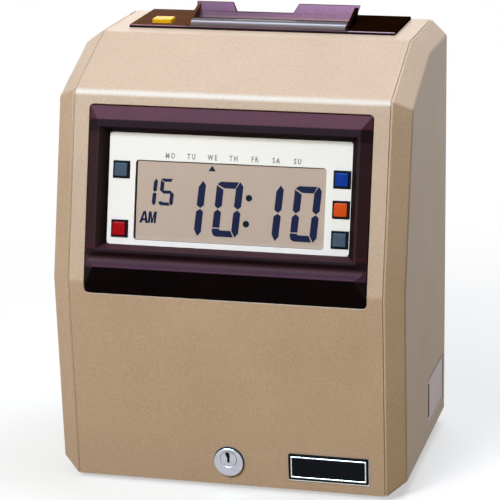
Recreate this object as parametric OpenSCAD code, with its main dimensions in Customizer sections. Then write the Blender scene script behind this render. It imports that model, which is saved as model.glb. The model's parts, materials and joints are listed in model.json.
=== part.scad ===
// Desktop time recorder: a hinged hood between two side cheeks over a card printing mechanism.
// Lengths are in millimetres. Pieces are drawn in case coordinates: x from the middle to the right,
// y from the front crease to the back, z from the bottom of the case up.

/* [Case] */
// Width over the two side cheeks
case_w = 230; // [220:1:250]
// Height of the case without feet and card throat
case_h = 279; // [274:1:290]
// Depth from the front crease to the back
case_d = 166; // [164:1:180]
// Height of the front crease
crease_h = 134.5; // [130:0.5:138]
// Set-back of the bottom edge behind the crease
toe_back = 8; // [5:0.5:11]
// Height of the ridge between front and sloped top
ridge_h = 253.5; // [251:0.5:258]
// Set-back of the ridge behind the crease
ridge_back = 27.5; // [25:0.5:30]
// Set-back of the line where the sloped top turns flat
shoulder_back = 91; // [85:1:96]
// Rounding of the ridge
ridge_r = 7; // [4:0.5:8]
// Rounding of the crease and of the shoulder
soft_r = 10; // [5:0.5:14]
// Wall of the plastic covers
wall = 3; // [2:0.25:3.5]
// Width of the cheek chamfer seen from the front
chamfer_w = 12.3; // [10:0.1:14]
// Width of the cheek chamfer seen from the side
chamfer_in = 8.3; // [6:0.1:10]
// Flat land of a cheek at the seam
seam_land = 0.8; // [0.4:0.1:1.5]
// Gap of the seam between hood and cheek
seam_gap = 0.6; // [0.3:0.1:1]
// Sheet steel of base, rear panel and mechanism
sheet = 1.5; // [1:0.1:2]

/* [Feet and screws] */
// Height of the feet
foot_h = 3; // [2:0.5:6]
// Diameter of a foot
foot_d = 16; // [12:1:22]
// Distance of the feet from the case sides
foot_in = 26; // [22:1:36]
// Diameter of the stem that holds a foot
foot_stem_d = 5; // [3:0.5:6]
// Diameter of the screws
screw_d = 3; // [2.5:0.5:4]
// Diameter of the screw heads
head_d = 6; // [5:0.5:8]
// Height of the screw heads
head_h = 1.8; // [1:0.1:2.5]
// Depth of a screw in what it holds
screw_grip = 6; // [4:0.5:8]
// Radial clearance of pins and stems in their holes
fit = 0.05; // [0.02:0.01:0.1]
// Diameter of a screw boss
boss_d = 8; // [6:0.5:10]

/* [Hood hinge and lock] */
// Distance of the hinge axis from the back
hinge_in = 8; // [7:0.5:10]
// Distance of the hinge axis below the top
hinge_down = 9; // [8:0.5:11]
// Diameter of a hinge pin
hinge_pin_d = 4; // [3:0.5:5]
// Distance of the hinge ears from the hood's side
hinge_side = 14.1; // [12:0.1:20]
// Length of a hinge lug on the hood
lug_w = 7; // [5:0.5:10]
// Height of the hood skirt at the back
skirt_h = 20; // [18:0.5:22]
// Gap between the skirt and the rear panel
skirt_gap = 2.5; // [2.5:0.25:5]
// Height of the lock above the bottom edge
lock_up = 16.5; // [15:0.5:20]
// Diameter of the lock face
lock_face_d = 19.4; // [18.5:0.1:22]
// Diameter of the lock body
lock_body_d = 17.2; // [16.5:0.1:18]
// How far the lock face stands proud
lock_proud = 2; // [1:0.25:3]
// Length of the lock body behind the hood face
lock_len = 18; // [15:0.5:20]
// Diameter of the lock plug
plug_d = 10.8; // [9:0.1:11.2]
// Height of the plug above the centre of the lock
plug_up = 2.2; // [1:0.1:2.4]
// Reach of the lock cam
cam_len = 14.5; // [13:0.25:15]
// Width of the lock cam
cam_w = 9; // [7:0.5:10]
// Height of the keeper that the cam hooks behind
keeper_h = 8; // [7:0.25:8.5]

/* [Bezel and display] */
// Distance of the bezel opening from the hood's side
open_side = 10.1; // [8:0.1:12]
// Lower end of the bezel opening, along the front from the crease
open_bottom = -7; // [-9:0.5:-5]
// Upper end of the bezel opening
open_top = 113.5; // [111:0.5:114.5]
// Corner radius of the bezel opening
open_r = 3; // [1:0.5:5]
// Gap around the bezel
bezel_gap = 0.6; // [0.3:0.1:1]
// How far the bezel ring stands proud
ring_h = 5; // [3:0.25:7]
// Upper edge of the bezel ring
ring_top = 104.2; // [102.5:0.1:106]
// Inset of the bezel ring from the opening at the sides
ring_in = 6.3; // [4:0.1:7]
// Lower edge of the flat ring
ring_bottom = 20; // [18:0.5:21]
// Lower corner of the bezel lip
lip_bottom = 10.2; // [8:0.2:12]
// How far the bezel lip stands proud
lip_h = 5.5; // [4:0.25:7]
// Height of the lip edge
lip_flat = 0.8; // [0.4:0.1:1.5]
// Depth of the hollow between ring and lip
cove_h = 1.4; // [0.5:0.1:2.5]
// Depth of the panel face behind the front
panel_in = 4; // [3.5:0.1:5]
// Distance of the visible panel from the side of the opening
panel_side = 13.25; // [12.5:0.05:14]
// Lower edge of the visible panel
panel_bottom = 25.1; // [24:0.1:26]
// Upper edge of the visible panel
panel_top = 96.2; // [95:0.1:97]
// Thickness of the display panel
panel_s = 1.5; // [1:0.1:2]
// Overlap of the panel behind the bezel
panel_lap_w = 2; // [1:0.25:2.5]
// Taper of the bezel recess at the sides
recess_w = 4.7; // [3:0.1:5.5]
// Taper of the bezel recess at top and bottom
recess_h = 3.1; // [2:0.1:3.5]
// Distance of the display window from the side of the panel
lcd_side = 16.85; // [16.5:0.05:19]
// Middle of the display window to the right of the middle
lcd_x = 0.7; // [0:0.1:1.2]
// Lower edge of the display window
lcd_bottom = 28.3; // [27:0.1:30]
// Upper edge of the display window
lcd_top = 79.2; // [77:0.1:81]
// Thickness of the display cell
lcd_s = 3; // [2:0.25:4]
// Edge of the display cell behind the panel
lcd_lap_w = 2; // [1:0.25:3]
// Distance of the left button column from the side of the panel
left_side = 8.25; // [8:0.05:9]
// Distance of the right button column from the side of the panel
right_side = 5.95; // [5.9:0.05:8]
// Height of the lowest button row
row_h = 35; // [34.5:0.1:37]
// Pitch of the button rows
row_pitch = 18.8; // [17:0.1:19.5]
// Side of a black button frame
frame_w = 11; // [10:0.1:11.5]
// Side of a button cap
cap_w = 8.6; // [7.5:0.1:9]
// Gap around a button cap
cap_gap = 0.2; // [0.15:0.05:0.4]
// How far a button cap stands proud of the panel
cap_proud = 2.4; // [1.6:0.1:3]
// How far a button frame stands proud of the panel
frame_proud = 0.8; // [0.4:0.1:1.2]
// Travel of a display button
cap_travel = 1; // [0.6:0.1:1.4]
// Space between panel and display board
board_gap = 6.5; // [6:0.25:9]
// Thickness of the circuit boards
board_s = 1.6; // [1.2:0.1:2]

/* [Top insert] */
// Distance of the top insert from the hood's side
insert_side = 12.6; // [10:0.1:15]
// Depth of the top insert
insert_d = 57.5; // [55:0.5:60]
// Distance of the insert's rear edge from the back
insert_back = 2; // [1:0.5:4]
// Thickness of the insert above the hood
insert_s = 2; // [1.5:0.1:3]
// Distance of the card slot from the back
slot_back = 34.4; // [34:0.1:36]
// Width of the card slot
slot_w = 4.8; // [4.6:0.1:5.2]
// Length of the card slot
slot_l = 105; // [100:1:107]
// Middle of the card throat to the right of the middle
throat_x = 3.3; // [2:0.1:4]
// Height of the throat above the hood
throat_h = 12; // [10:0.5:15]
// Lean of the throat plate to the back
throat_lean = 8.5; // [6:0.5:10]
// Flare of the throat plate at each end
throat_flare = 3.5; // [2:0.25:5]
// Wall of the throat
throat_s = 2.4; // [1.8:0.1:3]
// Width of the finger notch
notch_w = 31.7; // [28:0.1:36]
// How far each side of the notch opens towards its top
notch_flare = 6.6; // [4:0.2:8]
// Height of the plate left below the finger notch
notch_h = 6.5; // [3:0.5:8]
// Middle of the finger notch left of the throat middle
notch_left = 8.2; // [6:0.2:11]
// Gap at each end of the slot bar
bar_gap = 0.1; // [0.05:0.05:0.4]
// Depth of the satin bar
bar_d = 20; // [16:0.5:21]
// Thickness of the insert left under the slot bar
bar_seat = 1; // [0.8:0.1:1.4]
// Height of the satin bar
bar_h = 4; // [3:0.1:5]
// Yellow key left of the middle
key_left = 69.4; // [68:0.1:72]
// Distance of the yellow key before the card slot
key_front = 11.6; // [11.2:0.1:14]
// Width of the yellow key
key_w = 13.2; // [12:0.1:15]
// Depth of the yellow key
key_d = 10.8; // [10:0.1:13]
// How far the yellow key stands proud
key_proud = 2.6; // [2.2:0.1:4]
// Travel of the yellow key
key_travel = 1.5; // [1:0.1:2]
// Gap around the yellow key
key_gap = 0.3; // [0.2:0.05:0.5]
// Depth of the key's guide below the hood face
key_guide = 9; // [7:0.5:11]

/* [Nameplate and side cover] */
// Distance of the nameplate from the hood's side
plate_side = 10.1; // [6:0.1:20]
// Height of the nameplate's middle above the bottom edge
plate_up = 16.6; // [14:0.2:20]
// Width of the nameplate
plate_w = 52.4; // [46:0.2:56]
// Height of the nameplate
plate_h = 17.8; // [14:0.2:20]
// Thickness of the nameplate
plate_s = 1.6; // [1:0.1:2.2]
// Distance of the side cover from the back
side_back = 16; // [14:0.5:20]
// Width of the side cover
side_w = 56; // [48:0.5:58]
// Lower edge of the side cover
side_z0 = 18; // [16:0.5:24]
// Height of the side cover
side_h = 31; // [26:0.5:36]
// Gap around the side cover
side_gap = 0.7; // [0.3:0.1:1]

/* [Mechanism] */
// Distance between the mechanism plates
mech_w = 132; // [130:1:140]
// Depth of the mechanism plates
mech_d = 109; // [107:0.5:111]
// Depth of their upper part
mech_top_d = 61; // [59:0.5:63]
// Distance of their rear edge from the back
mech_back = 17; // [16:0.5:18]
// Height of the lower part of the mechanism plates
mech_h0 = 186; // [184:1:190]
// Height of the mechanism plates
mech_h1 = 232; // [230:1:236]
// Gap for the card between the two guides
card_gap = 4.6; // [4.4:0.1:4.8]
// Thickness of the card guides
guide_s = 1.2; // [0.8:0.1:1.6]
// Lower end of the card guides
guide_z0 = 110; // [104:1:116]
// Height of the feed shaft
feed_z = 205; // [202:0.5:207]
// Diameter of the shafts and rods
shaft_d = 6; // [5:0.5:7]
// Diameter of the feed tyres
tyre_d = 18; // [16:0.5:19]
// Width of the feed tyres
tyre_w = 14; // [10:0.5:18]
// Distance of the feed tyres from the middle
tyre_x = 28; // [22:1:34]
// Diameter of the shaft through the pinch rollers
pinch_shaft_d = 4; // [3:0.5:5]
// Diameter of the pinch rollers
pinch_d = 12; // [11:0.5:13]
// Space between feed tyre and pinch roller
nip = 0.4; // [0.3:0.1:0.6]
// Clearance around the rollers in the card guides
roller_gap = 1; // [0.6:0.1:2]
// Module of the gears
gear_m = 1; // [0.8:0.05:1.05]
// Teeth of the feed gear
feed_teeth = 40; // [36:4:40]
// Teeth of the motor pinion
pinion_teeth = 12; // [12:1:14]
// Width of the gears
gear_w = 5; // [4:0.5:8]
// Play between the gear teeth
gear_play = 0.35; // [0.3:0.05:0.5]
// Diameter of the feed motor
feed_motor_d = 24; // [20:0.5:26]
// Length of the feed motor
feed_motor_l = 38; // [30:1:42]
// Height of the print line
print_z = 164; // [163:0.5:165]
// Distance of the carriage rods before the card slot
rod_front = 31.6; // [31:0.1:32.5]
// Height of a rod above or below the print line
rod_dz = 14; // [13.5:0.25:15]
// Width of the print carriage
carriage_w = 36; // [30:1:38]
// Depth of the print carriage
carriage_d = 18; // [15:0.5:18]
// Travel of the carriage to each side
carriage_travel = 24; // [16:1:26]
// Width of the print head
head_w = 24; // [18:0.5:28]
// Height of the print head
head_z = 20; // [14:0.5:21]
// Height of the print window in the front guide
window_h = 16; // [12:0.5:18]
// Height of the platen bar
platen_h = 20; // [16:0.5:24]
// Depth of the platen bar
platen_d = 8; // [6:0.5:10]
// Height of the shelf that carries belt and cassette
shelf_z = 146; // [144:0.5:147]
// Distance of the belt pulleys from the middle
pulley_x = 46; // [44:0.5:47]
// Diameter of the belt pulleys
pulley_d = 12; // [10:0.5:13]
// Width of the carriage belt
belt_w = 5; // [4:0.5:6]
// Thickness of the carriage belt
belt_s = 1; // [0.6:0.1:1.2]
// Diameter of the carriage motor
belt_motor_d = 13; // [11:0.5:14]
// Length of the carriage motor
belt_motor_l = 30; // [24:1:36]
// Depth of the ribbon cassette
cassette_d = 22; // [18:0.5:23]
// Height of the ribbon cassette above the shelf
cassette_h = 27; // [25:0.5:30]
// Width of a cassette arm
arm_w = 6; // [4:0.5:6.5]
// Height of the ribbon
ribbon_h = 10; // [8:0.5:12]
// Diameter of the ribbon knob
knob_d = 16; // [12:0.5:20]
// Height of the ribbon knob
knob_h = 8; // [5:0.5:10]

/* [Electrics] */
// Width of the transformer core
core_w = 50; // [42:1:54]
// Depth of the transformer core
core_d = 30; // [24:1:34]
// Height of the transformer core
core_h = 42; // [36:1:48]
// Overhang of the transformer winding
coil_out = 8; // [5:0.5:10]
// Width of the main board
main_w = 150; // [130:1:160]
// Height of the main board
main_h = 120; // [100:1:130]
// Lower edge of the main board
main_z0 = 60; // [56:1:70]
// Stand-off of the main board from the rear panel
main_off = 6; // [5:0.25:6.5]
// Length of the battery pack
battery_l = 44; // [36:1:50]
// Diameter of a battery cell
battery_d = 14; // [12:0.5:17]
// Width of the power inlet body
inlet_w = 27; // [26:0.5:30]
// Height of the power inlet body
inlet_h = 19.5; // [18:0.5:22]
// Power inlet left of the middle, seen from the front
inlet_x = 70; // [62:1:76]
// Height of the power inlet's middle
inlet_z = 44; // [43:1:50]
// Distance between the wall screws
wall_pitch = 120; // [100:1:140]
// Height of the wall screws
wall_z = 205; // [196:1:215]
// Diameter of the wall screw holes
wall_hole_d = 6.5; // [5:0.5:8]

/* [Hidden] */
$fn = 48;

// Side profile of the case, from the bottom of the front round to the bottom of the back
profile = [[toe_back, 0], [0, crease_h], [ridge_back, ridge_h], [shoulder_back, case_h],
  [case_d, case_h], [case_d, 0]];
lean = atan(ridge_back / (ridge_h - crease_h));
toe = atan(toe_back / crease_h);
seam_x = case_w / 2 - chamfer_w;
hood_x = seam_x - seam_gap;
front_h = norm(profile[2] - profile[1]);
hinge_x = hood_x - hinge_side;
open_w = 2 * (hood_x - open_side);
panel_w = open_w - 2 * panel_side;
lcd_w = panel_w - 2 * lcd_side;
left_col = panel_w / 2 - left_side;
right_col = panel_w / 2 - right_side;
plate_x = hood_x - plate_side - plate_w / 2;
side_y0 = case_d - side_back - side_w;

// The lip of the bezel is the foremost point and the rear screw heads are the rearmost ones
lip_out = max(0, lip_h * cos(lean) - lip_bottom * sin(lean));
mid_y = (case_d + head_h - lip_out) / 2;

hinge_y = case_d - hinge_in;
hinge_z = case_h - hinge_down;
ear_r = hinge_in - wall - 1;
rear_in = case_d - sheet;
base_y0 = toe_back + wall / cos(toe) + 1;
rear_top = case_h - skirt_h - skirt_gap;
flange_h = 30;
flange_d = 22;

board_h = panel_in + panel_s + board_gap;
bezel_back = panel_in;
flange_lap = 5;
flange_s = 2;
flange_bottom = 8;
flange_top = front_h - ridge_r;
screw_x = open_w / 2 - 3.5;
screw_t = [panel_bottom + 7, panel_top - 7];
button_at = [[-left_col, row_h + 2 * row_pitch], [-left_col, row_h], [right_col, row_h + 2 * row_pitch],
  [right_col, row_h + row_pitch], [right_col, row_h]];
tube_w = cap_w + 2 * cap_gap;
cap_len = cap_proud + panel_s + 2.5;

insert_w = 2 * (hood_x - insert_side);
insert_y1 = case_d - insert_back;
insert_y0 = insert_y1 - insert_d;
slot_y = case_d - slot_back;
key_y = slot_y - key_front;
slot_front = slot_y - slot_w / 2;
slot_rear = slot_y + slot_w / 2;
collar_h = wall + 2;
guide_top = case_h - key_guide - 1;
hood_cut = 0.5;

feed_y = slot_y - nip / 2 - tyre_d / 2;
pinch_y = slot_y + nip / 2 + pinch_d / 2;
guide_front = slot_y - card_gap / 2;
guide_rear = slot_y + card_gap / 2;
mech_x = mech_w / 2;
mech_rear = case_d - mech_back;
mech_y0 = mech_rear - mech_d;
mech_y1 = mech_rear - mech_top_d;
gear_x = mech_x + sheet + 2;
gear_apart = gear_m * (feed_teeth + pinion_teeth) / 2 + 0.2;
pinion_y = feed_y - gear_apart;
rod_r = shaft_d / 2;
rod_line = slot_y - rod_front;
carriage_y = rod_line - carriage_d / 2 + 1;
ribbon_y = guide_front - guide_s - 1.4;
shelf_top = shelf_z + sheet;
belt_y = carriage_y - 0.3 - belt_s - pulley_d / 2 - fit;
belt_motor_r = min(belt_motor_d / 2, carriage_y - belt_y - 0.5);
cassette_y = mech_y0 + 4;
arm_x = mech_x - 3 - arm_w;
core_y = cassette_y + 22;
core_x = -25;
battery_x = 18;
inlet_depth = 14;

// Inward normal of the edge from a to b, with the inside to the right of the way
function unit(v) = v / norm(v);
function inward(a, b) = let(d = unit(b - a)) [d[1], -d[0]];
function mitre(a, b, c) = let(m = inward(a, b), n = inward(b, c)) (m + n) / (1 + m * n);
function inset_loop(p, d) = let(k = len(p))
  [for (i = [0 : k - 1]) p[i] + d * mitre(p[(i + k - 1) % k], p[i], p[(i + 1) % k])];

// Points of the rounding at corner i of the profile, drawn at depth d below its surface
function corner_arc(i, r, d, steps = 6) = let(p = profile,
    m = inward(p[i - 1], p[i]),
    n = inward(p[i], p[i + 1]),
    a = atan2(m[1], m[0]),
    b = atan2(n[1], n[0]),
    middle = p[i] + r * mitre(p[i - 1], p[i], p[i + 1]))
  [for (s = [0 : steps]) let(w = a + (b - a) * s / steps) middle - (r - d) * [cos(w), sin(w)]];
function hood_line(d) = concat(corner_arc(1, soft_r, d), corner_arc(2, ridge_r, d),
  corner_arc(3, soft_r, d));
function span(middle, half) = [middle - half, middle + half];
function turned(list) = [for (i = [len(list) - 1 : -1 : 0]) list[i]];

// Teeth as trapezoids, thinned by the play
function gear_points(teeth) = let(r = gear_m * teeth / 2, foot = r - 1.25 * gear_m, tip = r + 0.9 * gear_m,
    half = gear_m * PI / 4 - gear_play / 2,
    foot_a = (half + 1.25 * gear_m * tan(20)) / foot * 180 / PI,
    tip_a = (half - 0.9 * gear_m * tan(20)) / tip * 180 / PI)
  [for (i = [0 : teeth - 1], q = [[foot, -foot_a], [tip, -tip_a], [tip, tip_a], [foot, foot_a]])
    q[0] * [cos(i * 360 / teeth + q[1]), sin(i * 360 / teeth + q[1])]];

module placed() { translate([0, -mid_y, foot_h]) children(); }
module on_upper() { translate([0, 0, crease_h]) rotate([-lean, 0, 0]) children(); }
module on_lower() { translate([0, toe_back, 0]) rotate([toe, 0, 0]) children(); }
module along_x(x0, x1) { translate([x0, 0, 0]) rotate([90, 0, 90]) linear_extrude(x1 - x0) children(); }
module outward(h0, h1) { translate([0, -h0, 0]) rotate([90, 0, 0]) linear_extrude(h1 - h0) children(); }
module both_sides() { children(); mirror([1, 0, 0]) children(); }
module box(x, y, z) { translate([x[0], y[0], z[0]]) cube([x[1] - x[0], y[1] - y[0], z[1] - z[0]]); }
module rod_x(y, z, r, x0, x1) { translate([x0, y, z]) rotate([0, 90, 0]) cylinder(r = r, h = x1 - x0); }
module rod_y(x, z, r, y0, y1) { translate([x, y0, z]) rotate([-90, 0, 0]) cylinder(r = r, h = y1 - y0); }
module rod_z(x, y, r, z0, z1) { translate([x, y, z0]) cylinder(r = r, h = z1 - z0); }
module round_rect(w, h, r) {
  square([w - 2 * r, h], center = true);
  square([w, h - 2 * r], center = true);
  for (x = [-1, 1], y = [-1, 1]) translate([x * (w / 2 - r), y * (h / 2 - r)]) circle(r);
}
module face_rect(w, t0, t1, r) { translate([0, (t0 + t1) / 2]) round_rect(w, t1 - t0, r); }

// Case

module cheek_block(d, x1) {
  hull() {
    along_x(seam_x, seam_x + (d == 0 ? seam_land : 0.01)) polygon(inset_loop(profile, d));
    along_x(x1 - 0.01, x1) polygon(inset_loop(profile, d + chamfer_in));
  }
}
boss_low = [[base_y0 + 28, flange_h / 2], [side_y0 - 12, flange_h / 2]];
boss_y = rear_in - flange_d + boss_d / 2 + 1;
boss_back = [[boss_y, 100], [boss_y, 200]];
boss_at = concat(boss_low, boss_back);
module cheek() {
  difference() {
    union() {
      difference() {
        cheek_block(0, case_w / 2);
        translate([-0.01, 0, 0]) cheek_block(wall, case_w / 2 - wall);
      }
      for (b = boss_at) rod_x(b[0], b[1], boss_d / 2, seam_x, case_w / 2 - wall + 0.5);
    }
    for (b = boss_at) rod_x(b[0], b[1], screw_d / 2, seam_x - 1, seam_x + screw_grip);
  }
}
module left_cheek() { color("tan") placed() mirror([1, 0, 0]) cheek(); }
module right_cheek() {
  color("tan") placed() difference() {
    cheek();
    box([case_w / 2 - wall - 1, case_w / 2 + 1], [side_y0, side_y0 + side_w], [side_z0, side_z0 + side_h]);
  }
}
module access_cover() {
  lap = 3;
  seat = case_w / 2 - wall - 0.01;
  color("silver") placed() {
    box([seat - 0.5, case_w / 2 - 0.3], [side_y0 + side_gap, side_y0 + side_w - side_gap],
      [side_z0 + side_gap, side_z0 + side_h - side_gap]);
    box([seat - 1.2, seat], [side_y0 - lap, side_y0 + side_w + lap],
      [side_z0 - lap, side_z0 + side_h + lap]);
  }
}
foot_at = [for (x = [-1, 1], y = [foot_in, case_d - foot_in]) [x * (case_w / 2 - foot_in), y]];
keeper_y = toe_back + lock_len + 1.2 - sheet;
module base_plate() {
  color("gray") placed() difference() {
    union() {
      box([-seam_x, seam_x], [base_y0, rear_in], [0, sheet]);
      both_sides() box([seam_x - sheet, seam_x], [base_y0 + 18, rear_in - flange_d - 1], [0, flange_h]);
      box([-seam_x + sheet + 1, seam_x - sheet - 1], [rear_in - sheet, rear_in], [0, flange_h]);
      box([-20, 20], [keeper_y, keeper_y + sheet], [0, keeper_h]);
    }
    for (f = foot_at) rod_z(f[0], f[1], foot_stem_d / 2 + fit, -1, sheet + 1);
    both_sides() for (b = boss_low) rod_x(b[0], b[1], screw_d / 2 + fit, seam_x - sheet - 1, seam_x + 1);
    for (x = screw_rear) rod_y(x, flange_h / 2, screw_d / 2, rear_in - sheet - 1, rear_in + 1);
  }
}
module feet() {
  color("dimgray") placed() for (f = foot_at) {
    rod_z(f[0], f[1], foot_d / 2, -foot_h, 0);
    rod_z(f[0], f[1], foot_stem_d / 2, 0, sheet + 1.5);
  }
}
screw_rear = [22 - seam_x, seam_x - 22];
vent_w = 3;
vent_l = 24;
module rear_panel() {
  color("tan") placed() difference() {
    union() {
      box([-seam_x, seam_x], [rear_in, case_d], [0, rear_top]);
      both_sides() box([seam_x - sheet, seam_x], [rear_in - flange_d, rear_in],
        [flange_h + 2, rear_top - 10]);
    }
    for (x = screw_rear) rod_y(x, flange_h / 2, screw_d / 2 + fit, rear_in - 1, case_d + 1);
    both_sides() for (b = boss_back) rod_x(b[0], b[1], screw_d / 2 + fit, seam_x - sheet - 1, seam_x + 1);
    for (x = [-1, 1]) rod_y(x * wall_pitch / 2, wall_z, wall_hole_d / 2, rear_in - 1, case_d + 1);
    for (x = [-30 : 10 : 30])
      box(span(x, vent_w / 2), [rear_in - 1, case_d + 1], [rear_top - 20 - vent_l, rear_top - 20]);
    box([-inlet_x - inlet_w / 2, -inlet_x + inlet_w / 2], [rear_in - 1, case_d + 1],
      [inlet_z - inlet_h / 2, inlet_z + inlet_h / 2]);
    for (x = main_x, z = main_z) rod_y(x, z, screw_d / 2 + fit, rear_in - 1, case_d + 1);
    both_sides() for (z = bracket_z) rod_y(hinge_x - 8, z, screw_d / 2 + fit, rear_in - 1, case_d + 1);
  }
}
module screw_back(x, z, grip) {
  rod_y(x, z, head_d / 2, case_d, case_d + head_h);
  rod_y(x, z, screw_d / 2, case_d - grip, case_d);
}
module rear_screws() {
  color("silver") placed() {
    for (x = screw_rear) screw_back(x, flange_h / 2, screw_grip);
    for (x = main_x, z = main_z) screw_back(x, z, sheet + main_off);
    for (s = [-1, 1], z = bracket_z) screw_back(s * (hinge_x - 8), z, 2 * sheet + 1);
  }
}
module cheek_screws() {
  color("silver") placed() both_sides() for (b = boss_at) {
    rod_x(b[0], b[1], head_d / 2, seam_x - sheet - head_h, seam_x - sheet);
    rod_x(b[0], b[1], screw_d / 2, seam_x - sheet, seam_x + screw_grip);
  }
}

// Hinge

bracket_z = [rear_top - 18, rear_top - 8];
module hinge_ear() {
  difference() {
    union() {
      along_x(hinge_x, hinge_x + sheet) polygon([[rear_in, rear_top - 24], [rear_in, rear_top - 3],
        [hinge_y + ear_r, hinge_z], [hinge_y - ear_r, hinge_z], [hinge_y - ear_r, rear_top - 14]]);
      rod_x(hinge_y, hinge_z, ear_r, hinge_x, hinge_x + sheet);
      box([hinge_x - 14, hinge_x + sheet], [rear_in - sheet, rear_in], [rear_top - 24, rear_top - 3]);
    }
    rod_x(hinge_y, hinge_z, hinge_pin_d / 2, hinge_x - 1, hinge_x + sheet + 1);
    for (z = bracket_z) rod_y(hinge_x - 8, z, screw_d / 2, rear_in - sheet - 1, rear_in + 1);
  }
}
module hinge_brackets() { color("silver") placed() both_sides() hinge_ear(); }
module hinge_pins() {
  color("silver") placed() both_sides() {
    rod_x(hinge_y, hinge_z, hinge_pin_d / 2, hinge_x - lug_w - 2, hinge_x + sheet);
    rod_x(hinge_y, hinge_z, hinge_pin_d / 2 + 1, hinge_x + sheet, hinge_x + 2 * sheet);
  }
}

// Hood

module hood_strip() {
  along_x(-hood_x, hood_x) polygon(concat([profile[0]], hood_line(0), [profile[4]],
    [[case_d, case_h - skirt_h], [case_d - wall, case_h - skirt_h], [case_d - wall, case_h - wall]],
    turned(hood_line(wall)), [[toe_back + wall / cos(toe), 0]]));
}
module hood_lug() {
  x1 = hinge_x - 1;
  rod_x(hinge_y, hinge_z, ear_r, x1 - lug_w, x1);
  box([x1 - lug_w, x1], [hinge_y - ear_r, hinge_y + ear_r], [hinge_z, case_h - wall]);
}
module front_cover() {
  color("tan") placed() difference() {
    union() {
      hood_strip();
      both_sides() hood_lug();
    }
    both_sides() rod_x(hinge_y, hinge_z, hinge_pin_d / 2 + fit, hinge_x - lug_w - 3, hinge_x + 3);
    both_sides() box([hinge_x - 1, hinge_x + 2 * sheet + 1.5], [case_d - wall - 1, case_d + 1],
      [case_h - skirt_h - 1, case_h - wall]);
    on_upper() outward(-3 * wall, 3 * wall) face_rect(open_w, open_bottom, open_top, open_r);
    on_lower() rod_y(0, lock_up, lock_body_d / 2 + fit, -1, 2 * wall);
    box(span(throat_x, slot_l / 2 + throat_s + hood_cut),
      [slot_front - throat_s - hood_cut, slot_rear + throat_s + hood_cut], [case_h - wall - 1, case_h + 1]);
    key_block(key_w + 2 * (key_gap + key_wall + hood_cut), key_d + 2 * (key_gap + key_wall + hood_cut),
      case_h - wall - 1, case_h + 1);
  }
}
// Cross section of the bezel from the lip up to the top, as height above the front and place along it
cove = [for (s = [1 : 7]) let(u = s / 8)
  [ring_h + (lip_h - ring_h) * u - (ring_h - cove_h) * sin(180 * u),
    ring_bottom + (lip_bottom + lip_flat - ring_bottom) * u]];
bezel_line = concat([[-bezel_back, open_top - bezel_gap], [0, open_top - bezel_gap], [ring_h, ring_top],
  [ring_h, ring_bottom]], cove, [[lip_h, lip_bottom + lip_flat], [lip_h, lip_bottom],
  [-panel_in / 2, open_bottom + bezel_gap], [-bezel_back, open_bottom + bezel_gap]]);
bezel_x = open_w / 2 - bezel_gap;
recess_x = panel_w / 2;
module bezel() {
  color("#3a2628") placed() on_upper() difference() {
    union() {
      intersection() {
        along_x(-bezel_x, bezel_x) polygon([for (p = bezel_line) [-p[0], p[1]]]);
        translate([0, 0, open_bottom]) linear_extrude(open_top - open_bottom)
          polygon([[-bezel_x, bezel_back], [-bezel_x, 0], [ring_in - bezel_x, -ring_h],
            [ring_in - bezel_x, -9],
            [bezel_x - ring_in, -9], [bezel_x - ring_in, -ring_h], [bezel_x, 0], [bezel_x, bezel_back]]);
      }
      outward(-wall - flange_s, -wall)
        face_rect(open_w + 2 * flange_lap, flange_bottom, flange_top, open_r);
      for (x = [-1, 1], t = screw_t) rod_y(x * screw_x, t, boss_d / 3, wall, board_h);
    }
    intersection() {
      along_x(-bezel_x, bezel_x) polygon([[bezel_back + 3, panel_bottom], [bezel_back, panel_bottom],
        [-ring_h, panel_bottom - recess_h], [-ring_h - 1, panel_bottom - recess_h],
        [-ring_h - 1, panel_top + recess_h],
        [-ring_h, panel_top + recess_h], [bezel_back, panel_top], [bezel_back + 3, panel_top]]);
      linear_extrude(open_top) polygon([[-recess_x, bezel_back + 3], [-recess_x, bezel_back],
        [-recess_x - recess_w, -ring_h], [-recess_x - recess_w, -ring_h - 1],
        [recess_x + recess_w, -ring_h - 1],
        [recess_x + recess_w, -ring_h], [recess_x, bezel_back], [recess_x, bezel_back + 3]]);
    }
    outward(-wall - flange_s - 1, -bezel_back)
      face_rect(panel_w + 2 * panel_lap_w + 1, panel_bottom - panel_lap_w - 0.5,
        panel_top + panel_lap_w + 0.5, open_r);
    for (x = [-1, 1], t = screw_t) rod_y(x * screw_x, t, screw_d / 3, board_h - screw_grip, board_h + 1);
  }
}
module display_panel() {
  color("white") placed() on_upper() outward(-panel_in - panel_s, -panel_in) difference() {
    face_rect(panel_w + 2 * panel_lap_w, panel_bottom - panel_lap_w, panel_top + panel_lap_w, 2);
    translate([lcd_x, 0]) face_rect(lcd_w, lcd_bottom, lcd_top, 2);
    for (b = button_at) translate(b) square(frame_w + 0.3, center = true);
  }
}
module lcd_module() {
  color("#c8b4a5") placed() on_upper() outward(-panel_in - panel_s - lcd_s, -panel_in - panel_s)
    translate([lcd_x, 0]) face_rect(lcd_w + 2 * lcd_lap_w, lcd_bottom - lcd_lap_w, lcd_top + lcd_lap_w, 1);
}
frame_rim = 2;
rib_w = 6;
module display_frame() {
  color("black") placed() on_upper() {
    outward(-board_h, -panel_in - panel_s) difference() {
      face_rect(panel_w + 2 * panel_lap_w, panel_bottom - panel_lap_w, panel_top + panel_lap_w, 2);
      face_rect(panel_w + 2 * (panel_lap_w - frame_rim), panel_bottom - panel_lap_w + frame_rim,
        panel_top + panel_lap_w - frame_rim, 1);
    }
    for (x = [-1, 1]) outward(-board_h, -panel_in - panel_s - lcd_s)
      translate([lcd_x + x * lcd_w / 4, (lcd_bottom + lcd_top) / 2])
        square([rib_w, lcd_top - lcd_bottom], center = true);
  }
}
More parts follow.
